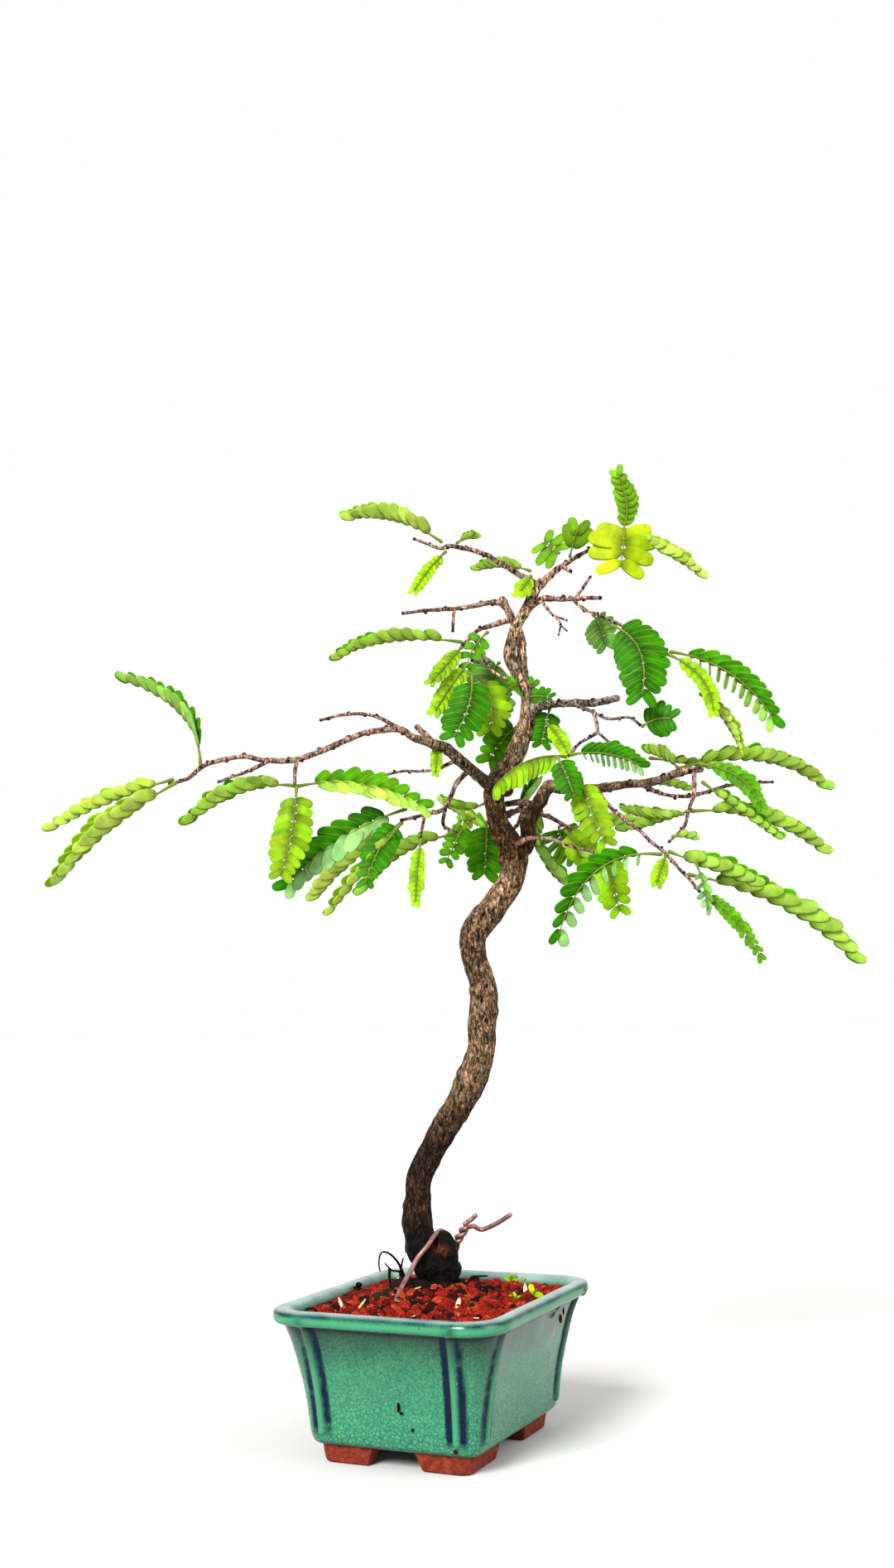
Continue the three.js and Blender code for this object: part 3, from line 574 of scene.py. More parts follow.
def randomTurns(count):
    # random rotations from unit quaternions
    q = unit(rng.normal(size=(count, 4)))
    w, x, y, z = q.T
    return np.stack([np.stack([1 - 2 * (y * y + z * z), 2 * (x * y - w * z), 2 * (x * z + w * y)], -1),
                     np.stack([2 * (x * y + w * z), 1 - 2 * (x * x + z * z), 2 * (y * z - w * x)], -1),
                     np.stack([2 * (x * z - w * y), 2 * (y * z + w * x), 1 - 2 * (x * x + y * y)], -1)], 1)


def insidePot(x, y, margin):
    # inside the rounded rectangle of the wall at the soil's height
    radius = soil["insideCorner"]
    dx, dy = (np.maximum(np.abs(value) - half + margin + radius, 0)
              for value, half in zip((x, y), soil["insideHalf"]))
    return np.hypot(dx, dy) < radius


def makeGranules(material):
    # one layer on a jittered grid and a looser one of smaller grains on top, darker towards the trunk
    pitch, jitter, spread = (granules[key] for key in ("pitch", "jitter", "heightSpread"))
    (reachX, reachY), (looseX, looseY) = granules["reach"], granules["looseReach"]
    columns = np.arange(-reachX, reachX, pitch)
    gx, gy = np.meshgrid(columns, np.arange(-reachY, reachY, pitch * granules["rowShare"]), indexing="ij")
    gx = gx + (np.arange(gx.shape[1]) % 2) * pitch / 2
    x = gx.ravel() + rng.uniform(-jitter, jitter, gx.size) * pitch
    y = gy.ravel() + rng.uniform(-jitter, jitter, gx.size) * pitch
    x = np.concatenate([x, rng.uniform(-looseX, looseX, granules["looseCount"])])
    y = np.concatenate([y, rng.uniform(-looseY, looseY, granules["looseCount"])])
    first = np.arange(len(x)) < gx.size
    keep = insidePot(x, y, granules["margin"])
    x, y, first = x[keep], y[keep], first[keep]
    count, away = len(x), toTrunk(x, y)
    size = granules["halfSize"] * rng.uniform(*granules["sizeSpread"], count)
    size = size * np.where(first, 1, granules["looseSize"])
    z = soilHeight(x, y) + np.where(first, *granules["layerHeights"]) + rng.uniform(-spread, spread, count)
    z = z - np.where(away < granules["hollowReach"], granules["hollowDepth"], 0)
    pick = rng.choice(len(granules["shares"]), count, p=granules["shares"])
    pick = np.clip(pick + (rng.random(count) < 0.6) * np.where(away < granules["darkReach"], 3, 0), 0, 5)
    pick = np.where((away < granules["blackReach"]) & (rng.random(count) < 0.7), 5, pick)
    colours = tones(*granules["tones"])[pick] * rng.uniform(0.75, 1.2, (count, 1))
    stretch = rng.uniform(*granules["stretch"], (count, 3)) * size[:, None] * millimetre
    axes = randomTurns(count) * stretch[:, None, :]
    centres = fromPot(np.stack([x, y, z], -1))
    scatter("lavaGranules", roundedBall(4), centres, axes, colours, material, granules["lumps"])


def makeChips(material):
    # splinters of straw: thin flat boxes that taper to both ends
    long = np.array([-1, -0.5, 0, 0.5, 1])[:, None]
    across = np.array([0.35, 0.9, 1, 0.8, 0.2])[:, None]
    section = np.array([[1, 1], [-1, 1], [-1, -1], [1, -1]])
    ring = np.stack(np.broadcast_arrays(long, across * section[:, 0], 0.5 * section[:, 1]), -1)
    template = closedGrid(ring, [-1.05, 0, 0], [1.05, 0, 0])
    named = (fromTree(straw["long"]) - potCentre) / millimetre
    reachX, reachY = straw["reach"]
    x = np.concatenate([named[:, 0], rng.uniform(-reachX, reachX, straw["count"])])
    y = np.concatenate([named[:, 1], rng.uniform(-reachY, reachY, straw["count"])])
    keep = insidePot(x, y, straw["margin"]) & (toTrunk(x, y) > straw["fromTrunk"])
    x, y = x[keep], y[keep]
    count = len(x)
    big = np.arange(count) < len(named)
    z = soilHeight(x, y) + np.where(big, *straw["heights"])
    turn = rng.uniform(0, math.pi, count)
    tilt = rng.uniform(-straw["tilt"], straw["tilt"], count) + np.where(big, *straw["lift"])
    length = np.where(big, *(rng.uniform(*limits, count) for limits in straw["halfLengths"]))[:, None]
    along = np.stack([np.cos(turn) * np.cos(tilt), np.sin(turn) * np.cos(tilt), np.sin(tilt)], -1)
    side = unit(np.cross(along, [0.2, 0.1, 1.0]))
    width = np.where(big, *straw["halfWidths"])[:, None]
    up = np.cross(along, side)
    axes = np.stack([along * length, side * width, up * straw["thickness"]], -1) * millimetre
    colours = tones(*straw["tones"])[rng.integers(0, 3, count)]
    scatter("strawChips", template, fromPot(np.stack([x, y, z], -1)), axes, colours, material)


# Damp fines under the granules: nearly black brown.
makeBed(noiseMaterial("dampFines", 700.0, [(0.3, "#0a0403"), (0.75, "#31100a")], (0.8, 0.001), detail=5.0,
                      Roughness=0.95, Specular_IOR_Level=0.05))
# Scoria, a bubbly iron-rich lava crushed to about 4 to 7 mm: matte, pitted, each grain its own red.
makeGranules(noiseMaterial("redScoria", 1100.0, [(0.38, 0.08), (0.58, 0.95), (0.7, 1.6)], (0.9, 0.0007),
                           True, grain=0.75, Roughness=0.9, Specular_IOR_Level=0.08))
# Dry straw, streaked along its fibres.
makeChips(noiseMaterial("dryStraw", 900.0, [(0.3, 0.6), (0.7, 1.0)], (0.4, 0.0002), True,
                        Roughness=0.7, Specular_IOR_Level=0.05))
print("soil made")


# Wood: routes of [x, y, z, radius] in the tree's frame, in millimetres.
trunk = {
    "main": [[1, 20, 54, 7], [1, 20, 62, 8.4], [1, 20, 70, 8.8], [-2, 20, 78, 8.9], [-6, 20, 85, 8.3],
             [-8, 20, 92, 7.5], [-9, 19, 100, 7.0], [-9, 18, 107, 6.5], [-8, 17, 117, 6.0],
             [-2, 15, 129, 6.1], [5, 14, 141, 6.2], [13, 13, 153, 6.6], [19, 12, 166, 7.0],
             [23, 11, 178, 6.4], [24, 10, 190, 6.8], [25, 10, 203, 6.3], [23, 10, 215, 6.3],
             [20, 11, 227, 6.0], [22, 12, 236, 6.3], [29, 13, 245, 6.5], [36, 14, 254, 6.3],
             [41, 14, 265, 5.9], [41, 14, 275, 6.2], [35, 13, 285, 5.1], [32, 12, 300, 4.7],
             [34, 11, 309, 4.9], [41, 10, 318, 4.9], [46, 9, 329, 4.5], [49, 8, 339, 4.1],
             [49, 8, 350, 3.1], [45, 8, 362, 3.3], [41.5, 8, 369, 3.1], [41.5, 8, 375, 2.8],
             [44, 7, 384, 2.4], [49, 6, 392, 2.6], [54, 5, 402, 2.5], [57, 5, 407, 1.9]],
    "stump": [[2, 20, 66, 8], [3, 19, 76, 7.4], [4, 18, 82, 6.4], [4, 17.5, 86, 5.4],
              [3.4, 17.2, 88.6, 4.4]],
    "twig": [[42, 11, 276, 1.6], [48, 2, 279, 1.2], [58, -4, 278, 1], [69, -10, 273, 0.9],
             [82, -16, 269, 0.7]],
}
roots = [
    [[1, 18, 58, 4], [-14, 8, 52, 2.8], [-26, -2, 42, 1.6], [-32, -8, 34, 0.8]],
    [[2, 20, 56, 4], [18, 14, 50, 2.6], [30, 8, 40, 1.6], [34, 4, 32, 0.8]],
    [[1, 22, 56, 4], [4, 34, 50, 2.6], [2, 43, 42, 1.4], [1, 47, 36, 0.8]],
    [[0, 18, 56, 4], [2, 2, 46, 2.8], [6, -16, 38, 1.8], [8, -28, 32, 0.9]],
]
limbs = {
    "limb_upper_left": [
        [[47, 9, 355, 2.8], [47, 12, 369, 2.5], [47, 13, 381, 2.3], [43, 11, 389, 2], [38, 8, 399, 1.8]],
        [[40, 9, 395, 1.7], [34, 6, 397, 1.4], [15, 0, 393, 1.2], [-11, -8, 389, 0.9]],
        [[14, 0, 393, 1], [13, -3, 381, 0.8]],
    ],
    "limb_right": [
        [[38, 14, 270, 4.4], [47, 14, 278, 4.3], [49, 13, 288, 4], [54, 11, 298, 3.6], [59, 9, 305, 3.1],
         [64, 6, 304, 2.7], [77, 0, 302, 2.4], [93, -5, 303, 2.1], [107, -8, 304, 2], [120, -12, 308, 2],
         [130, -14, 309, 1.8]],
        [[53, 12, 296, 2], [45, 15, 298, 1.7], [38, 20, 298, 1.6]],
        [[127, -14, 309, 1.2], [126, -16, 297, 1.1], [123, -16, 289, 1], [120, -18, 281, 0.9],
         [113, -20, 274, 0.7]],
        [[100, -6, 304, 1.4], [114, 2, 299, 1.1], [127, 8, 299, 1.1], [146, 14, 304, 1], [159, 18, 306, 0.9],
         [171, 22, 307, 0.7]],
        [[82, -2, 302, 1.5], [84, -6, 296, 1.2], [90, -14, 288, 1.1], [98, -22, 280, 1.1],
         [104, -28, 273, 1], [109, -32, 268, 1], [117, -38, 257, 0.9], [123, -42, 249, 0.8]],
    ],
    "limb_left": [
        [[38, 11, 304, 3.4], [28, 6, 308, 3], [19, 0, 314, 2.7], [9, -6, 322, 2.5], [3, -9, 324, 2.3],
         [-7, -13, 327, 1.9], [-13, -16, 330, 1.7], [-27, -20, 329, 1.6], [-44, -24, 322, 1.6],
         [-61, -28, 315, 1.5], [-74, -31, 314, 1.4], [-85, -33, 316, 1.3], [-100, -36, 313, 1.2],
         [-106, -37, 310, 1.1], [-111, -38, 305, 1], [-119, -39, 303, 0.8]],
        [[-74, -31, 314, 1.1], [-85, -36, 308, 0.9], [-96, -42, 303, 0.8]],
        [[-12, -16, 330, 1.2], [-25, -10, 338, 1], [-39, -6, 340, 0.9], [-52, -2, 338, 0.8]],
        [[-61, -28, 315, 1.1], [-62, -30, 309, 1], [-62, -32, 302, 0.9]],
        [[3, -9, 324, 1.7], [-5, -6, 333, 1.4]],
        [[20, 1, 313, 1.6], [13, 2, 306, 1.3], [8, -2, 294, 1.2], [-2, -8, 290, 1], [-13, -14, 287, 0.9]],
        [[8, -2, 294, 1], [7, 2, 286, 0.9], [13, 6, 283, 0.7]],
        [[-2, -8, 290, 0.9], [-4, -14, 279, 0.7]],
        [[14, -3, 317, 1.1], [0, -2, 312, 0.9], [-14, 4, 313, 0.8], [-27, 10, 311, 0.7]],
    ],
    "limb_back": [
        [[33, 12, 290, 2], [47, 28, 296, 1.5], [59, 40, 294, 1.3], [73, 50, 288, 1.1]],
        [[47, 28, 296, 1.2], [43, 40, 288, 1], [34, 48, 285, 0.9]],
    ],
    "limb_dead": [
        [[48, 8, 341, 2.6], [56, 4, 344, 2.1], [67, -2, 344, 2], [80, -8, 343, 1.9], [91, -14, 344, 1.8]],
        [[70, -4, 344, 1.1], [80, -10, 338, 1], [87, -14, 334, 0.9], [96, -18, 334, 0.8],
         [101, -20, 330, 0.8]],
        [[80, -9.5, 339, 1], [81, -14, 328, 1], [72, -17, 322, 0.9], [67, -20, 316, 0.9]],
        [[81, -14, 328, 0.8], [89, -16, 320, 0.7]],
    ],
    "limb_mid_left": [
        [[42, 10, 389, 1.5], [27, 6, 384, 1.2], [18, 2, 375, 1]],
        [[23, 4, 380, 1], [31, 0, 363, 0.9], [39, -4, 356, 0.8]],
        [[31, 0, 366, 0.9], [22, -3, 366, 0.8]],
    ],
    "limb_upper_right": [
        [[52, 6, 395, 1.9], [58, 4, 398, 1.6], [67, 0, 397, 1.4], [75, -4, 396, 1.3], [85, -8, 395, 1]],
        [[74, -4, 397, 1], [81, -2, 407, 0.8]],
        [[71, -3, 397, 1], [77, -6, 390, 1], [85, -11, 385, 0.9], [100, -15, 377, 0.9],
         [115, -20, 366, 0.8]],
        [[57, 4, 397, 0.9], [62, 2, 390, 0.75], [69, 0, 386, 0.6]],
        [[62, 2, 390, 0.6], [66, 1, 385, 0.6], [65, 1, 379, 0.5]],
        [[66, 1, 384, 0.5], [69, 1, 381, 0.45]],
    ],
    "limb_top_left": [
        [[55, 4, 405, 1.9], [47, 2, 410, 1.6], [36, -2, 415, 1.5], [29, -4, 419, 1.4], [13, -8, 422, 1.2],
         [7, -9, 421, 1], [-5, -12, 425, 0.8]],
    ],
    "limb_top_right": [
        [[57, 5, 405, 1.9], [63, 6, 411, 1.6], [72, 8, 418, 1.4], [81, 10, 424, 1.1], [89, 2, 425, 1],
         [95, -6, 426, 0.9]],
        [[68, 7, 415, 1.2], [72, 5, 412, 1]],
    ],
}
barkTones = {"wet": "#0d0707", "damp": "#3c281b", "brown": "#86684c", "rust": "#604224", "tan": "#aa8a6a",
             "twig": "#ad8574", "dead": "#8f877c"}
# the bark's tone by height above the ground: wet and dark at the soil, brown, then tan
barkLevels = [(60, "wet"), (90, "wet"), (102, "damp"), (135, "damp"), (165, "brown"), (260, "brown"),
              (272, "rust"), (294, "rust"), (310, "tan"), (430, "tan")]
# painted shade and painted highlights on the bark: centre in the tree's frame, reach in mm, and how much
# they darken as painted shade; below 0 they lighten as painted highlights
paintedBarkShading = [(52, 13, 294, 15, 0.52), (26, 4, 309, 13, 0.6), (10, -4, 320, 12, 0.5), (52, 10, 336, 7, 0.3),
              (44, 8, 366, 8, 0.35), (43, 11, 388, 8, -0.9), (50, 13, 372, 7, -0.4), (60, 9, 404, 15, -0.5),
              (36, 8, 253, 10, -0.7), (23, 9, 177, 8, -0.35), (17, 8, 221, 12, 0.3)]
# an orange scrape on the cut stump
scrape = {"centre": (2.4, 11, 84.8), "reach": 2.6, "tone": "#a4460f"}


def barkColour(height, radius, isDead):
    # by height, and paler on thin twigs
    table = tones(*(barkTones[tone] for _, tone in barkLevels))
    base = np.stack([np.interp(height, [z for z, _ in barkLevels], column) for column in table.T], -1)
    thin = (np.clip((2.4 - radius) / 1.3, 0, 1) * np.clip((height - 120) / 40, 0, 1))[..., None]
    base = base * (1 - thin) + tones(barkTones["twig"]) * thin
    return base * 0.25 + tones(barkTones["dead"]) * 0.75 if isDead else base


def barkRoughness(points, radii):
    # ridges run up the wood: broad swells, folded noise for the fissures, and fine flakes
    place = points / millimetre
    swell = latticeNoise(place * [1, 1, 0.6], 11, 21) * 0.09
    ridge = (1 - 2.2 * np.abs(latticeNoise(place * [1, 1, 0.42], 4.2, 22))) * 0.085
    flake = latticeNoise(place * [1, 1, 0.7], 1.7, 23) * 0.035
    return radii * (swell + ridge * np.clip(radii / millimetre / 3, 0.25, 1) + flake)


def woodSurface(route, sides, step, isDead=False, knots=0.0):
    length = routeLength(route)
    count = max(int(length / step), 12)
    curve = smoothRoute(route, count)
    radius = curve[:, 3] * np.interp(curve[:, 3], [0.9, 2.6], [0.8, 1.0])
    if knots:
        # nodes every 5.5 to 9 mm, as narrow rings of swelling, and a slight wander between them
        place = np.linspace(0, length, count)
        for at in np.cumsum(rng.uniform(5.5, 9, int(length / 6))):
            radius += radius * knots * band(place, at, 1.1)
        radius += radius * 0.08 * latticeNoise(np.stack([place, 0 * place, 0 * place], -1), 9, 31)
        wander = np.stack([latticeNoise(curve[:, :3] + k * 40.0, 8, 32) for k in range(3)], -1)
        curve[:, :3] += wander * 0.45 * np.clip(np.minimum(place, length - place) / 8, 0, 1)[:, None]
    verts, faces = tubeSurface(fromTree(curve[:, :3]), radius * millimetre, sides, barkRoughness)
    thickness = np.repeat(np.concatenate([radius[:1]] * 3 + [radius] + [radius[-1:]] * 3), sides)
    thickness = np.concatenate([thickness, radius[:1], radius[-1:]])
    tone = barkColour(verts[:, 2] / millimetre, thickness, isDead)
    tone = tone * (1 + 0.25 * latticeNoise(verts / millimetre, 7, 33)[:, None])
    # painted shade and painted highlights, fading out from each centre
    for *centre, reach, dim in paintedBarkShading:
        distance = np.linalg.norm(verts - fromTree([centre]), axis=1) / millimetre
        tone = tone * (1 - dim * band(distance, 0, reach))[:, None]
    distance = np.linalg.norm((verts - fromTree([scrape["centre"]])) * [1, 1, 1.6], axis=1) / millimetre
    share = band(distance, 0, scrape["reach"])[:, None]
    return verts, faces, np.clip(tone * (1 - share) + tones(scrape["tone"]) * share, 0, 1)


def ballSurface(centre, radius, tone, stretch=(1, 1, 1), detail=8):
    # a lumpy ball, for burrs, buds and crumbs
    verts, faces = roundedBall(detail)
    verts = verts * np.array(stretch) * radius
    verts = verts * (1 + 0.22 * latticeNoise(verts + np.array(centre), max(radius * 0.8, 0.5), 34)[:, None])
    return tinted((fromTree(verts + np.array(centre)), faces), tone)


def budsAlong(route):
    # dark buds on alternate sides of a twig, 6 to 11 mm apart
    length = routeLength(route)
    curve = smoothRoute(route, max(int(length), 8))
    places = np.cumsum(rng.uniform(6, 11, int(length / 7)))
    buds = []
    for i, place in enumerate(places[places < length - 3]):
        x, y, z, radius = curve[int(place / length * (len(curve) - 1))]
        if radius < 2.3:
            centre = (x, y - radius * 0.3, z + radius * 0.85 * (1 if i % 2 else -1))
            buds.append(ballSurface(centre, 0.45 + radius * 0.3, "#4e382c", (1.2, 1, 0.9), 3))
    return buds


def barkMaterial():
    # Weathered bark of a small tree, dry above and wet at the soil: furrowed every 1 to 3 mm, matte.
    made, tree, shader = startMaterial("furrowedBark", Specular_IOR_Level=0.07)
    place = addNode(tree, "TexCoord", "Object")
    height = addNode(tree, "SeparateXYZ", "Z", Vector=place)
    stretched = addNode(tree, "Mapping", Scale=(1, 1, 0.4), Vector=place)
    furrow = addNode(tree, "TexNoise", Scale=780.0, Detail=6.0, Roughness=0.7, Distortion=0.8,
                     Vector=stretched)
    flake = addNode(tree, "TexVoronoi", feature="DISTANCE_TO_EDGE", Scale=330.0, Vector=stretched)
    lichen = addNode(tree, "TexNoise", Scale=150.0, Detail=5.0, Vector=place)
    # the furrow noise darkens the fissures nearly to black, partly the bark's own dark cracks and partly
    # painted shade in them, and lifts the ridges to nearly twice the tint as painted highlights; the flakes'
    # edges darken likewise, partly own colour and partly painted shade
    dark = rampNode(tree, furrow, [(0.4, 0.0), (0.66, 1.95), (0.5, 0.31), (0.57, 0.84)])
    colour = mixColour(tree, "MULTIPLY", 1.0, addNode(tree, "Attribute", attribute_name="tint"), dark)
    colour = mixColour(tree, "MULTIPLY", 0.75, colour, rampNode(tree, flake, [(0.0, 0.2), (0.09, 1.0)]))
    crust = rampNode(tree, lichen, [(0.58, 0.0), (0.7, 0.35)])
    above = addNode(tree, "MapRange", Value=height, From_Min=0.14, From_Max=0.2)
    crust = addNode(tree, "Math", operation="MULTIPLY", _0=crust, _1=above)
    colour = mixColour(tree, "MIX", crust, colour, linear("#a3977c"))
    wet = addNode(tree, "MapRange", Value=height, From_Min=0.075, From_Max=0.11, To_Min=0.45, To_Max=0.82)
    relief = addNode(tree, "Bump", Strength=0.9, Distance=0.0009, Height=furrow)
    relief = addNode(tree, "Bump", Strength=0.6, Distance=0.0004, Height=flake, Normal=relief)
    connect(shader, Base_Color=colour, Roughness=wet, Normal=relief)
    return made


bark = barkMaterial()
trunkParts = [woodSurface(trunk["main"], 72, 0.62), woodSurface(trunk["stump"], 56, 0.7),
              woodSurface(trunk["twig"], 14, 0.8, knots=0.2)]
trunkParts += [woodSurface(route, 20, 1.2) for route in roots]
# burrs, old cuts and the flare where limbs leave the trunk: centre, radius, tone and stretch
burrs = [
    [(-3, 15, 76), 5.2, "#130b0b", (1.1, 0.8, 1)], [(6, 22, 74), 5.6, "#150c0c"],
    [(-9, 16, 97), 3.2, "#2e2019", (1, 0.8, 1.3)], [(9, 10.5, 143), 3, "#54402c"],
    [(25, 8, 186), 3.2, "#7a6146", (1, 0.9, 1.2)], [(20, 8.5, 206), 2.6, "#7a6146"],
    [(42, 13, 272), 4.4, "#84694c", (1.1, 0.9, 1.1)], [(35, 12, 306), 3.6, "#97835f"],
    [(49, 8, 341), 3.2, "#97835f", (1.1, 1, 1)],
]
trunkParts += [ballSurface(*burr) for burr in burrs]
piece = meshPiece("woodTrunk", joinSurfaces(trunkParts), bark)
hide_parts("trunk")
for name, routes in limbs.items():
    parts = []
    for route in routes:
        thick = max(p[3] for p in route)
        *end, endRadius = route[-1]
        sides = 40 if thick > 2.9 else 24 if thick > 1.8 else 14
        parts.append(woodSurface(route, sides, 0.6, name == "limb_dead", 0.08 if thick > 2.9 else 0.16))
        if endRadius < 1.2:
            parts.append(ballSurface(end, endRadius * 1.05, "#4c382d", detail=6))
        parts += budsAlong(route)
    piece = meshPiece("wood_" + name, joinSurfaces(parts), bark)
    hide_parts(name)
print("wood made")

debris = {
    # fine dead roots: routes in the tree's frame, and their radius
    "roots": [[[-13, 10, 66], [-16, 10, 75], [-19, 8, 81], [-23, 6, 84.7], [-26, 5, 84.5], [-27, 6, 80],
               [-26.6, 8, 76]], [[-15, 9, 68], [-17, 8, 75], [-21, 6, 76.5], [-24, 4, 80]], [[-22, 6, 77],
                                                                                             [-22, 6, 72],
                                                                                             [-21, 5, 66]],
              [[-17, 8, 74], [-16.5, 10, 78], [-15.7, 12, 81]], [[-17, 8, 74], [-12, 10, 72],
                                                                 [-8, 10, 69]], [[14, 16, 68],
                                                                                 [18, 14, 71.5],
                                                                                 [24, 14, 72]],
              [[-30, -6, 63], [-26, -2, 66], [-21, 4, 70]]],
    "rootRadius": 0.42,
    # crumbs of old bark and moss: centre, radius and colour
    "lumps": [[(-7, 6, 68.5), 4.4, "#140d09"], [(-12, 9, 69), 4.6, "#1a110c"],
              [(-18, 6, 69.5), 4, "#20160f"], [(-10, 1, 67), 3.8, "#0f0a08"],
              [(-27, -7, 65.5), 3.8, "#281c12"], [(-33, -9, 65), 3.6, "#1c140d"],
              [(-22, 0, 67), 3.4, "#241a11"], [(-4, 0, 67), 3, "#120c0a"],
              [(-39, 30, 64), 2.4, "#0d0a0a"], [(-38, 29, 66.5), 1.5, "#0d0a0a"],
              [(20, 20, 66), 3, "#150d0a"]],
    # bits stuck to the glaze: centre on the pot's own axes, radius, stretch and colour
    "wallBits": [[(6.2, -54.9, 28), 1.0, (0.7, 0.4, 2.2), "#06080a"],
                 [(7.4, -54.6, 25.6), 0.7, (1.3, 0.4, 1), "#06080a"],
                 [(34.8, -57.2, 41), 0.8, (0.7, 0.5, 1.5), "#a08a62"],
                 [(32, -53, 11.5), 1.1, (1, 0.5, 1), "#3a0f0a"],
                 [(51.8, 25, 54), 1.5, (0.5, 1, 1.4), "#4c0f0b"],
                 [(52.4, 27.5, 57), 0.9, (0.5, 0.6, 2), "#120707"],
                 [(49.5, -38, 55), 0.8, (0.5, 1.6, 0.7), "#141212"],
                 [(12, -52.9, 18.6), 0.9, (0.9, 0.4, 0.9), "#141212"]],
}


def makeDebris(material):
    parts = []
    for route in debris["roots"]:
        radius = np.linspace(1.8, 0.8, 40) * debris["rootRadius"] * millimetre
        parts.append(tinted(tubeSurface(fromTree(smoothRoute(route, 40)), radius, 6), "#0c0808"))
    parts += [ballSurface(centre, radius, tone, (1.1, 1, 0.8)) for centre, radius, tone in debris["lumps"]]
    meshPiece("soilCrumbs", joinSurfaces(parts), material)
    bits = []
    for centre, radius, stretch, tone in debris["wallBits"]:
        verts, faces = roundedBall(6)
        bits.append(tinted((fromPot(verts * np.array(stretch) * radius + np.array(centre)), faces), tone))
    meshPiece("wallBits", joinSurfaces(bits), material)


# Rotting bark, moss and fine roots, dark with water.
makeDebris(noiseMaterial("dampWoodCrumbs", 1200.0, [(0.3, 0.35), (0.7, 1.0)], (0.4, 0.0002), True,
                         Roughness=0.85, Specular_IOR_Level=0.05))


# How a leaf carries its two rows of leaflets, the near row first: degrees each row hangs below the
# leaf's own plane (a folded-up row is negative), degrees it leans towards the tip, and its twist.
# Sink lowers the rachis under the raised rows; a pale near row shows its undersides' colour.
folds = {
    "closed": {"facing": (0, -0.25, 1), "rows": [(-64, 62, 14), (-82, 64, 8)], "sink": 5},
    "open": {"facing": (0, -0.3, 1), "rows": [(40, 62, -8), (-58, 50, 10)], "paleNear": True},
    "draped": {"facing": (0, -0.25, 1), "rows": [(66, 24, 14), (60, 24, 14)]},
    "slivers": {"facing": (0, -0.25, 1), "rows": [(64, 24, 74), (-72, 60, 10)], "sink": 4, "paleNear": True},
    "flat": {"facing": (0, -1, 0.15), "rows": [(10, 18, 9), (10, 18, 9)]},
    "young": {"facing": (0, -1, 0.15), "rows": [(12, 56, 12), (12, 56, 12)]},
    "fan": {"facing": (0, -1, 0.15), "rows": [(8, -30, 9), (8, -30, 9)], "spread": 1.3},
}
leafTones = {
    "light": ("#7fa814", "#b4d056"), "lime": ("#8fbf14", "#b4d82a"), "yellow": ("#a4b80e", "#bccc2c"),
    "mid": ("#4c9009", "#a0c648"), "midDark": ("#3a8604", "#8fbc50"), "dark": ("#2a7400", "#82b068"),
    "fresh": ("#92bc20", "#bedc58"), "grey": ("#6fa54a", "#a4cc8a"), "olive": ("#679a14", "#8fb434"),
}
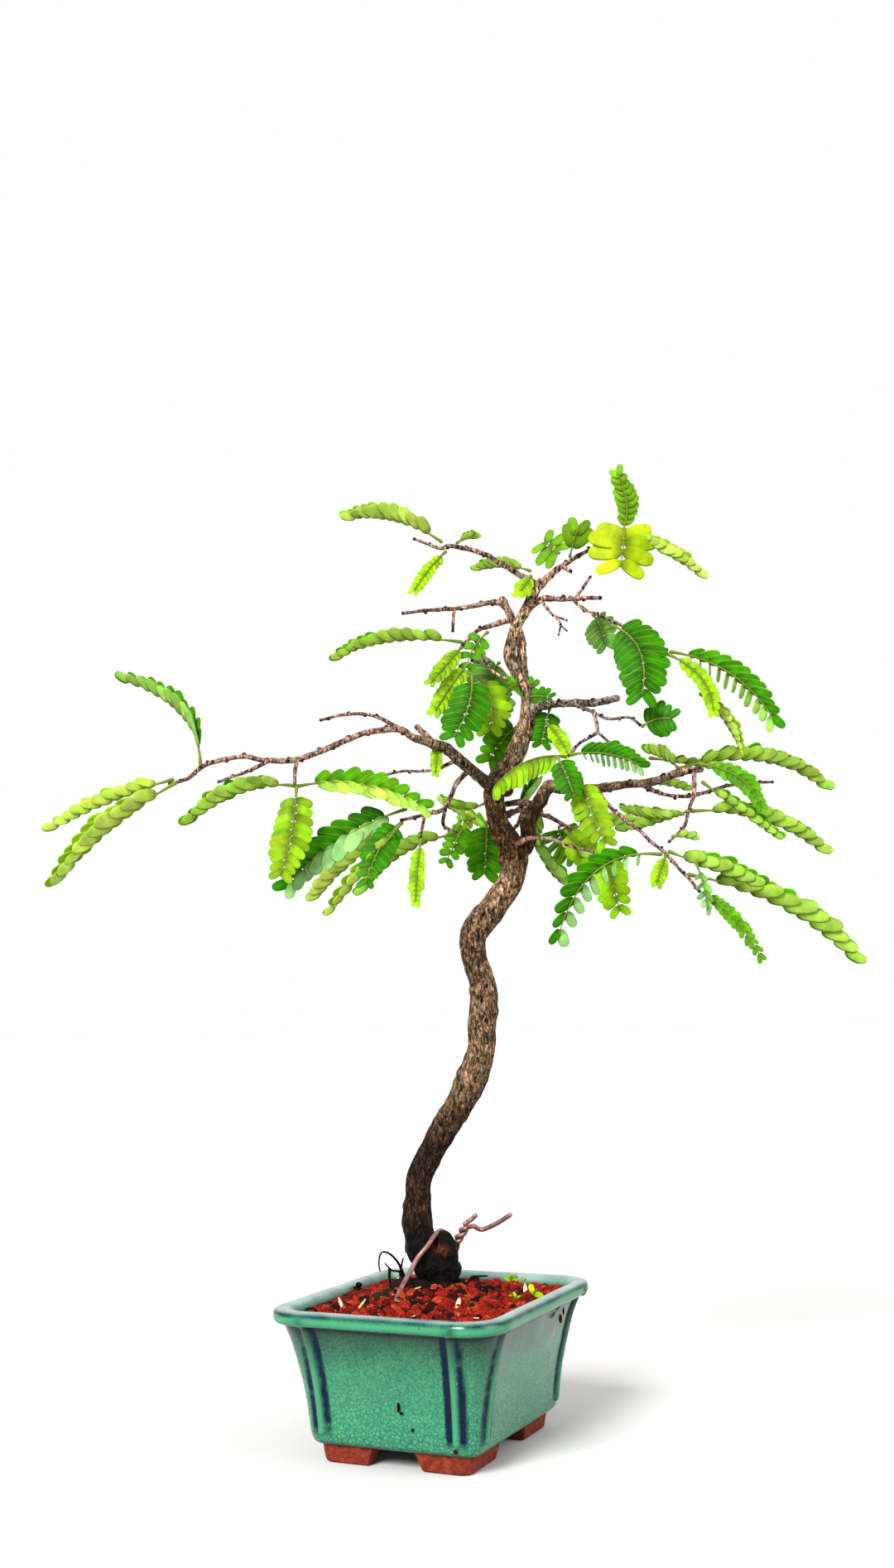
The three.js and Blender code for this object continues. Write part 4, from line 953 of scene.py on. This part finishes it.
# each leaf: start, middle, tip, half width, leaflet pairs, fold and tone
leafRows = {
    "top_left": [
        [[8, -10, 424], [-17, -17, 439], [-41, -25, 433], 9.5, 10, "closed", "light"],
        [[10, -9, 419], [1, -14, 408], [-7, -20, 394], 5, 9, "young", "lime"],
        [[52, 10, 414], [37, 13, 421], [22, 16, 417], 7, 7, "closed", "mid"],
    ],
    "top_right": [
        [[67, 14, 424], [61, 17, 430], [54, 19, 434], 10, 3, "fan", "olive"],
        [[72, 6, 420], [75, 3, 430], [79, 2, 441], 11, 2, "young", "olive"],
        [[98, -9, 429], [96, -12, 415], [92, -13, 396], 15, 4, "fan", "yellow"],
        [[97, -5, 428], [100, -2, 446], [94, 2, 466], 8, 9, "young", "olive"],
        [[99, -4, 427], [118, -9, 421], [138, -15, 402], 8.5, 9, "closed", "light"],
    ],
    "upper_right": [
        [[89.5, -17.5, 379], [102, -28, 361], [98, -33, 332], 11.5, 10, "flat", "dark"],
        [[117, -20, 365], [147, -24, 355], [166, -30, 325], 10, 11, "slivers", "midDark"],
        [[115, -24, 363], [131, -27, 349], [134, -30, 330], 6, 9, "young", "lime"],
    ],
    "dead": [
        [[102, -22, 329], [111, -26, 332], [119, -30, 329], 8, 5, "flat", "dark"],
        [[65, -22, 315], [44, -20, 312], [27, -15, 296], 9, 11, "draped", "light"],
        [[68, -22, 316], [87, -26, 318], [104, -30, 308], 8, 10, "slivers", "dark"],
        [[72, -26, 304], [76, -33, 286], [84, -37, 267], 8, 8, "flat", "light"],
    ],
    "right": [
        [[121, -12, 288], [107, -2, 292], [91, 6, 296], 8, 7, "closed", "mid"],
        [[125, -14, 289], [162, -6, 290], [194, 4, 270], 10, 10, "closed", "mid"],
        [[131, -12, 303], [149, -22, 290], [165, -32, 274], 8, 8, "closed", "mid"],
        [[120, -10, 310], [163, 0, 320], [198, 12, 302], 10, 11, "closed", "mid"],
        [[129, -18, 311], [147, -27, 302], [155, -34, 285], 6.5, 10, "young", "mid"],
    ],
    "right_low": [
        [[107, -33, 267], [74, -42, 261], [55, -50, 222], 10, 9, "slivers", "dark"],
        [[111, -34, 268], [132, -44, 264], [152, -54, 252], 12, 6, "closed", "mid"],
        [[119, -38, 257], [166, -30, 247], [201, -20, 216], 12.5, 10, "closed", "mid"],
        [[124, -43, 248], [137, -50, 236], [149, -58, 214], 4.8, 12, "young", "mid"],
    ],
    "fork": [
        [[68, -4, 275], [79, 4, 268], [88, 12, 254], 9, 6, "closed", "mid"],
    ],
    "back": [
        [[66, 46, 289], [70, 56, 281], [86, 66, 270], 10, 7, "flat", "mid"],
        [[57, 44, 297], [52, 60, 297], [61, 78, 290], 11, 7, "draped", "mid"],
        [[48, 32, 294], [60, 36, 271], [77, 40, 258], 9, 8, "closed", "midDark"],
        [[29, 44, 292], [28, 44, 276], [26.5, 44, 258], 10.5, 7, "flat", "midDark"],
        [[74, 52, 289], [91, 62, 296], [122, 72, 295], 9, 8, "closed", "mid"],
    ],
    "left": [
        [[-105, -38, 312], [-117, -36, 344], [-151, -30, 359], 9.5, 11, "closed", "midDark"],
        [[-118, -38, 305], [-149, -34, 300], [-181, -28, 284], 9, 10, "closed", "fresh"],
        [[-116, -41, 303], [-146, -50, 286], [-168, -62, 256], 12, 10, "closed", "light"],
        [[-63, -33, 302], [-89, -38, 303], [-114, -44, 283], 10, 9, "closed", "mid"],
        [[-61, -34, 301], [-63, -42, 277], [-69, -46, 255], 8.5, 10, "flat", "light"],
        [[-61, -30, 302], [-28.4, -26, 302], [4, -22, 288], 10, 9, "open", "mid"],
    ],
    "left_low": [
        [[-11, -16, 292], [-44, -26, 275], [-70, -38, 248], 12, 9, "open", "dark"],
        [[-13, -12, 286], [-40, -2, 272], [-58, 8, 252], 10, 9, "closed", "light"],
        [[-13, -18, 285], [-23, -30, 272], [-31, -40, 250], 6.5, 9, "flat", "dark"],
        [[-4, -16, 277], [-6, -20, 261], [-7, -24, 244], 5, 12, "young", "lime"],
        [[12, 8, 282], [-16, 18, 278], [-37, 26, 254], 10, 9, "closed", "mid"],
    ],
    "mid_left": [
        [[17, 0, 376], [-20, -6, 380], [-46, -14, 366], 8.5, 11, "closed", "mid"],
        [[20, -4, 364], [11, -7, 352], [1, -12, 335], 7, 9, "young", "lime"],
        [[21.7, -10, 357], [19, -20, 338], [8.5, -27, 319], 9.5, 7, "flat", "dark"],
        [[44, 16, 336], [36, 22, 329], [25, 28, 313], 10, 7, "flat", "mid"],
    ],
}
# young and half-hidden leaves, too small to count as parts of their own
smallLeaves = [
    [[16, -4, 425], [22, 0, 431], [27, 4, 430], 5, 5, "closed", "mid"],
    [[82, -2, 388], [87, 4, 380], [90, 8, 369], 8, 6, "flat", "grey"],
    [[131, -16, 345], [143, -18, 333], [149, -22, 314], 7, 8, "closed", "light"],
    [[58, 0, 335], [63, -6, 327], [69, -12, 314], 5.5, 8, "young", "lime"],
    [[61, -27, 314], [65, -34, 303], [68, -37, 292], 6.5, 6, "flat", "dark"],
    [[119, -14, 310], [111, -20, 318], [99, -26, 319], 7, 6, "closed", "mid"],
    [[82, -18, 267], [86, -20, 253], [90, -22, 235], 8, 6, "flat", "lime"],
    [[44, 34, 297], [51, 44, 310], [58, 56, 318], 10, 7, "closed", "midDark"],
    [[33, 50, 286], [17, 60, 302], [4, 68, 309], 9, 8, "closed", "mid"],
    [[17, -1, 373], [10, -7, 364], [-1, -14, 350], 6, 8, "young", "light"],
    [[36, 18, 369], [32, 24, 360], [36, 28, 345], 11, 7, "flat", "grey"],
    [[-14, -26, 283], [-32, -30, 264], [-49, -34, 241], 8, 7, "closed", "light"],
    [[4, -6, 325], [4, -8, 317], [3, -10, 307], 4, 8, "young", "lime"],
    [[109, -35, 266], [106, -38, 259], [103, -40, 250], 5, 7, "young", "lime"],
    [[122, -42, 262], [125, -46, 250], [125, -48, 238], 6, 5, "slivers", "grey"],
    [[108, 1, 317], [132, 2, 316], [156, 2, 309], 6, 8, "closed", "mid"],
    [[126, -4, 291], [109, 2, 289], [88, 2, 283], 7, 7, "closed", "mid"],
    [[108, 4, 305], [119, 6, 307], [129, 6, 302], 6, 4, "closed", "mid"],
    [[113, -34, 275], [119, -36, 277], [125, -38, 273], 5, 3, "closed", "mid"],
    [[52, 2, 409], [49, -1, 404], [44, -4, 396], 6, 7, "young", "lime"],
    [[40, 4, 353], [48, 8, 356], [58, 12, 352], 7, 6, "flat", "mid"],
    [[30, 2, 381], [22, 0, 371], [19, -4, 358], 6, 4, "flat", "mid"],
    [[26, 6, 359], [31.5, 6, 344], [28, 4, 327], 9, 7, "flat", "light"],
    [[41, 8, 351], [37, 8, 344], [34, 8, 336], 5, 4, "flat", "grey"],
    [[60, 6, 343], [57, 6, 332], [55, 6, 321], 7, 5, "flat", "dark"],
    [[50, 6, 349], [57, 4, 349], [64, 2, 346], 5, 4, "flat", "dark"],
    [[66, 2, 282], [75, 0, 272], [86, -2, 260], 7, 7, "flat", "light"],
    [[18, 30, 290], [12.5, 30, 280], [5, 30, 265], 6, 6, "flat", "mid"],
    [[28, 30, 300], [17, 30, 301], [5, 30, 304], 7, 4, "closed", "mid"],
    [[22, 20, 291], [17, 20, 290], [11, 20, 291], 4, 3, "flat", "light"],
    [[-41, 30, 62], [-41, 29.5, 65], [-40.5, 29, 67.5], 3, 2, "flat", "lime"],
    [[-23, -10, 64], [-23, -11, 66.5], [-22.5, -12, 68.5], 2.8, 1, "flat", "lime"],
    [[-13, -14, 64], [-13, -14.5, 66], [-12.5, -15, 67.5], 2.4, 1, "flat", "lime"],
    [[36, 46, 63], [36.5, 46, 66], [37, 46, 69], 3, 2, "flat", "lime"],
    [[43, 46, 63], [43.5, 46, 65], [44, 46, 67], 2.4, 1, "flat", "lime"],
    [[36, 0, 62], [37, -1, 64.5], [39, -2, 66.5], 3, 2, "flat", "lime"],
    [[43, 4, 63], [46, 4.5, 66], [49, 5, 70], 4, 1, "flat", "yellow"],
]
leaflet = {
    "stations": [0.02, 0.08, 0.2, 0.42, 0.66, 0.84, 0.94, 0.985], "perRing": 8, "widthShare": 0.46,
    "lengthShare": 1.2, "thickness": 0.03, "cup": 0.05, "crease": 0.05, "droop": 0.05,
    "jitter": 2.5, "twistJitter": 4,
}


def leafletTemplate():
    # unit leaflet along +X: half width w(s) = W (1 - |2s - 1|^3.2)^0.5, arched by -droop s^2, cupped by the
    # square of the distance across, with a fold along the midrib
    s = np.array(leaflet["stations"])[:, None]
    half = leaflet["widthShare"] / 2 * (1 - np.abs(2 * s - 1) ** 3.2) ** 0.5
    turn = np.linspace(0, 2 * math.pi, leaflet["perRing"], endpoint=False)[None, :]
    across = np.cos(turn)
    z = leaflet["thickness"] / 2 * np.sin(turn) * (half / half.max()) ** 0.5 - leaflet["droop"] * s ** 2
    z = z + leaflet["cup"] * half * across ** 2 - leaflet["crease"] * half * (1 - np.abs(across))
    points = np.stack(np.broadcast_arrays(s, half * across, z), -1)
    verts, faces = closedGrid(points, [0, 0, 0], [1.0, 0, -leaflet["droop"]])
    u = np.append((s + 0 * across).ravel(), [0, 1])
    v = np.append((across / 2 + 0.5 + 0 * s).ravel(), [0.5, 0.5])
    under = np.append((np.sin(turn) + 0 * s).ravel() < -0.1, [False, False])
    return verts, [f[:, ::-1] for f in faces], np.stack([u, v], -1), under


def pinnateLeaf(row, seed):
    # leaflets stand in pairs along the rachis, a quadratic Bezier through the row's three points
    start, middle, tip = (np.array(p, float) for p in row[:3])
    halfWidth, pairs, kind, tone = row[3:7]
    fold = folds[kind]
    sink = np.array([0, 0, fold.get("sink", 0) * halfWidth / 10])
    middle, tip = middle - sink, tip - sink * 0.6
    local = np.random.default_rng(seed)
    control = 2 * middle - start / 2 - tip / 2

    def bezier(t):
        t = np.asarray(t)[:, None]
        return (1 - t) ** 2 * start + 2 * t * (1 - t) * control + t ** 2 * tip

    def slope(t):
        t = np.asarray(t)[:, None]
        return unit(2 * (1 - t) * (control - start) + 2 * t * (tip - control))

    def turned(first, second, angle):
        # first and second turned together in their plane
        c, s = np.cos(angle)[:, None], np.sin(angle)[:, None]
        return first * c + second * s, second * c - first * s

    whole = routeLength(bezier(np.linspace(0, 1, 26)))
    longest = halfWidth * leaflet["lengthShare"]
    # the last leaflets reach past the rachis, so it stops short of the leaf's tip
    reach = 1 - 0.62 * longest / whole
    radius = np.interp(np.linspace(0, 1, 26), [0, 0.05, 0.12, 1], [0.95, 0.75, 0.5, 0.26])
    rachis = fromTree(bezier(np.linspace(0, reach, 26)))
    stalk = tinted(tubeSurface(rachis, radius * millimetre, 8), "#7d9430")
    share = np.repeat((np.arange(pairs) + 0.5) / pairs, 2)
    side = np.tile([1.0, -1.0], pairs)
    count = len(share)
    jitter = local.normal(0, 1, (count, 6))
    at = reach * np.clip(0.1 + 0.9 * share + jitter[:, 0] * 0.004 + side * 0.006, 0, 1)
    base, along = bezier(at), slope(at)
    across = unit(np.cross(along, fold["facing"]))
    upper = np.cross(across, along)
    size = longest * (0.74 + 0.26 * np.sin(math.pi * np.minimum(share * 1.2, 1))) * (1 + jitter[:, 1] * 0.05)
    near = (across[:, 1] * side < 0)[:, None]
    hang, lean, twist = np.where(near, *np.array(fold["rows"], float)[:, None]).T
    # edge-on leaflets look short, and open out towards the tip
    edgeOn = twist > 40
    size = np.where(edgeOn, size * (0.6 + 0.35 * share ** 2), size)
    twist = np.where(edgeOn, twist - 55 * share ** 2, twist)
    # the leaflets lean more and more towards the last pairs
    lean = lean + (78 - lean) * share ** fold.get("spread", 4) * 0.6
    lean = np.radians(lean + jitter[:, 2] * leaflet["jitter"])
    hang = np.radians(hang + jitter[:, 3] * leaflet["jitter"])
    twist = np.radians(twist + jitter[:, 4] * leaflet["twistJitter"]) * side
    out, normal = turned(across * side[:, None], -upper, hang)
    forward = turned(out, along, lean)[0]
    normal, width = turned(-normal, np.cross(-normal, forward), twist)
    # wide enough to lie over the next leaflet like a roof tile
    gap = whole * reach * 0.9 / pairs * np.cos(lean)
    broad = np.clip(gap * 1.32 / (size * leaflet["widthShare"]), 1.1, 1.3) * (1 + jitter[:, 5] * 0.04)
    verts, faces, uv, under = leafletTemplate()
    shape = verts * np.stack([size, size * broad, size], -1)[:, None]
    axes = np.stack([forward, width, normal], 1)
    placed = fromTree((base[:, None] + shape @ axes).reshape(-1, 3))
    above, below = tones(*leafTones[tone])
    vary = np.exp(local.normal(0, 0.12, (count, 1))) * (1 + local.normal(0, 0.05, (count, 3)))
    pale = under | (near & fold.get("paleNear", False))
    colours = (np.where(pale[..., None], below, above) * vary[:, None]).reshape(-1, 3)
    stalkSize = len(stalk[0])
    uvs = np.vstack([np.full((stalkSize, 2), 0.25), np.tile(uv, (count, 1))])
    return (np.vstack([stalk[0], placed]), stalk[1] + copies(faces, count, len(verts), stalkSize),
            np.vstack([stalk[2], np.clip(colours, 0, 1)]), uvs)


def leafMaterial():
    # Living leaflets: a thin waxy skin, light passing through, with a pale midrib and edge.
    made, tree, shader = startMaterial("waxyLeaf", Roughness=0.5, Specular_IOR_Level=0.06)
    along, across, _ = addNode(tree, "SeparateXYZ", Vector=addNode(tree, "UVMap")).node.outputs
    place = addNode(tree, "TexCoord", "Object")
    away = addNode(tree, "Math", operation="SUBTRACT", _0=across, _1=0.5)
    away = addNode(tree, "Math", operation="ABSOLUTE", _0=away)
    mottle = addNode(tree, "TexNoise", Scale=190.0, Detail=4.0, Vector=place)
    colour = addNode(tree, "Attribute", attribute_name="tint")
    # the mottle varies the tone at random; the darkening towards each leaflet's base is painted shade under
    # the leaflet that lies over it
    for source, stops in ((mottle, [(0.3, 0.72), (0.7, 1.12)]), (along, [(0.0, 0.35), (0.4, 1.08)])):
        colour = mixColour(tree, "MULTIPLY", 1.0, colour, rampNode(tree, source, stops))
    for stops, tone in (([(0.0, 0.22), (0.05, 0.0)], "#b4cb3c"), ([(0.45, 0.0), (0.5, 0.6)], "#c6dc3e")):
        colour = mixColour(tree, "MIX", rampNode(tree, away, stops), colour, linear(tone))
    connect(shader, Base_Color=colour)
    glow = addNode(tree, "BsdfTranslucent", Color=colour)
    both = addNode(tree, "MixShader", _0=0.38, _1=shader.outputs[0], _2=glow)
    connect(tree.nodes["Material Output"], Surface=both)
    return made


leafSkin = leafMaterial()
for group, rows in leafRows.items():
    for i, row in enumerate(rows):
        surface = pinnateLeaf(row, 100 + i * 7 + len(group) * 31)
        piece = meshPiece(f"leafSpray_{group}_{i + 1}", surface, leafSkin)
        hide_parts(f"leaf_{group}_{i + 1}")
for i, row in enumerate(smallLeaves):
    meshPiece(f"leafSmall_{i + 1}", pinnateLeaf(row, 700 + i), leafSkin)
print("leaves made")


# The tie wire runs from the stump down through one drain hole and up through the other.
tieWire = {"radius": 1.15, "turns": 1.25, "twistRadius": 1.2, "from": (9.5, 26, 86),
           "to": (14.6, 20.6, 94.6)}


def twistStrand(phase):
    # point(t) = from + (to - from) t + r (side cos(phase + 2 pi turns t) + other sin(...))
    start, end = fromTree([tieWire["from"], tieWire["to"]])
    along = unit(end - start)
    side = unit(np.cross([0, 0, 1.0], along))
    other = np.cross(along, side)
    t = np.linspace(0, 1, 15)[:, None]
    angle = phase + 2 * math.pi * tieWire["turns"] * t
    swing = tieWire["twistRadius"] * millimetre * (side * np.cos(angle) + other * np.sin(angle))
    return start + (end - start) * t + swing


def makeWire(material):
    points = np.vstack([
        fromTree([[35.2, 10, 100.4], [29, 14, 96.2], [22, 17.4, 93], [18, 17.6, 94.6]]),
        twistStrand(math.pi)[::-1],
        fromTree([[6.4, 27.6, 87.4], [3.6, 24, 91.4], [1.2, 17.6, 92.4], [-1.6, 11.4, 90.2], [-4, 9.2, 87],
                  [-8.6, 7.4, 82], [-12, 4, 76.5], [-16.5, -5, 69.5], [-19.4, -14, 62]]),
        fromPot([[-8, -23, 48], [-2, -27, 30], [0, -27, 16], [0, -27, 10], [0, -25.5, 7.2], [0, -23, 6.4],
                 [0, 23, 6.4], [0, 25.5, 7.2], [0, 27, 10], [0, 27, 16], [-1, 29, 30], [-4, 36, 50]]),
        fromTree([[7, 39, 67], [8, 34, 76], [10, 30, 83]]), twistStrand(0),
        fromTree([[17, 22, 97.2], [19, 21.4, 99]]),
    ])
    curve = smoothRoute(points / millimetre, 700) * millimetre
    surface = tubeSurface(curve, np.full(len(curve), tieWire["radius"] * millimetre), 12)
    piece = meshPiece("tieWire", surface, material)
    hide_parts("tie_wire")


# Annealed aluminium wire with a brown copper-coloured coating, dulled by handling and water.
makeWire(noiseMaterial("brownWire", 420.0, [(0.3, "#5a3630"), (0.72, "#8c655c")],
                       Metallic=0.35, Roughness=0.38))
# Injection-moulded polyethylene mesh, black and matte.
blackPlastic = startMaterial("blackPolyethylene", Roughness=0.6, Base_Color=linear("#17181a"))[0]
for name in ("drain_mesh_front", "drain_mesh_back"):
    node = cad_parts[name]
    node.data.materials.clear()
    node.data.materials.append(blackPlastic)
print("wire and meshes made")


def makeFloor():
    floorMaterial = startMaterial("paleFloor", Roughness=0.9, Specular_IOR_Level=0.1,
                                  Base_Color=linear("#bbbab8"))[0]
    radius, sides = 12, 96
    angle = np.linspace(0, 2 * math.pi, sides, endpoint=False)
    ring = np.stack([np.cos(angle), np.sin(angle), 0 * angle], -1) * radius
    mesh = bpy.data.meshes.new("floor")
    mesh.from_pydata(ring.tolist(), [], [list(range(sides))])
    mesh.materials.append(floorMaterial)
    floor = addObject("floor", mesh)
    floor.location.z = -0.2 * millimetre  # just under the feet


def makeCamera():
    view = {"lens": 38.0, "sensor": 36, "place": (8.9, -795.4, 199.6), "tilt": -7.61, "roll": -0.98}
    p, r = math.radians(view["tilt"]), math.radians(view["roll"])
    right = np.array([1.0, 0, 0])
    up = np.array([0, math.sin(p), math.cos(p)])
    forward = np.array([0, math.cos(p), -math.sin(p)])
    right, up = right * math.cos(r) + up * math.sin(r), up * math.cos(r) - right * math.sin(r)
    camera = addObject("camera", bpy.data.cameras.new("camera"))
    camera.data.lens = view["lens"]
    camera.data.sensor_width = view["sensor"]
    camera.data.clip_start = 0.01
    camera.data.clip_end = 100
    matrix = np.eye(4)
    matrix[:3, :3] = turnMatrix @ np.stack([right, up, -forward], -1)
    matrix[:3, 3] = fromTree([view["place"]])[0]
    camera.matrix_world = Matrix(matrix.tolist())
    bpy.context.scene.camera = camera


def makeSun(name, place, strength, spread):
    # soft studio light: parallel, from a wide disc, so the whole floor is lit alike
    light = addObject(name, bpy.data.lights.new(name, "SUN"))
    light.data.energy = strength
    light.data.angle = math.radians(spread)
    toTarget = -Vector(turnMatrix @ np.array(place, float))
    light.rotation_euler = toTarget.to_track_quat("-Z", "Y").to_euler()


makeFloor()
makeCamera()
makeSun("key", (-0.5, -0.9, 0.72), 6.5, 24)
makeSun("fill", (0.9, -0.4, 0.5), 1.6, 40)
world = bpy.data.worlds.new("studio")
world.use_nodes = True
connect(world.node_tree.nodes["Background"], Color=(1, 1, 1, 1), Strength=1.0)
bpy.context.scene.world = world
bpy.context.scene.view_settings.view_transform = "Standard"
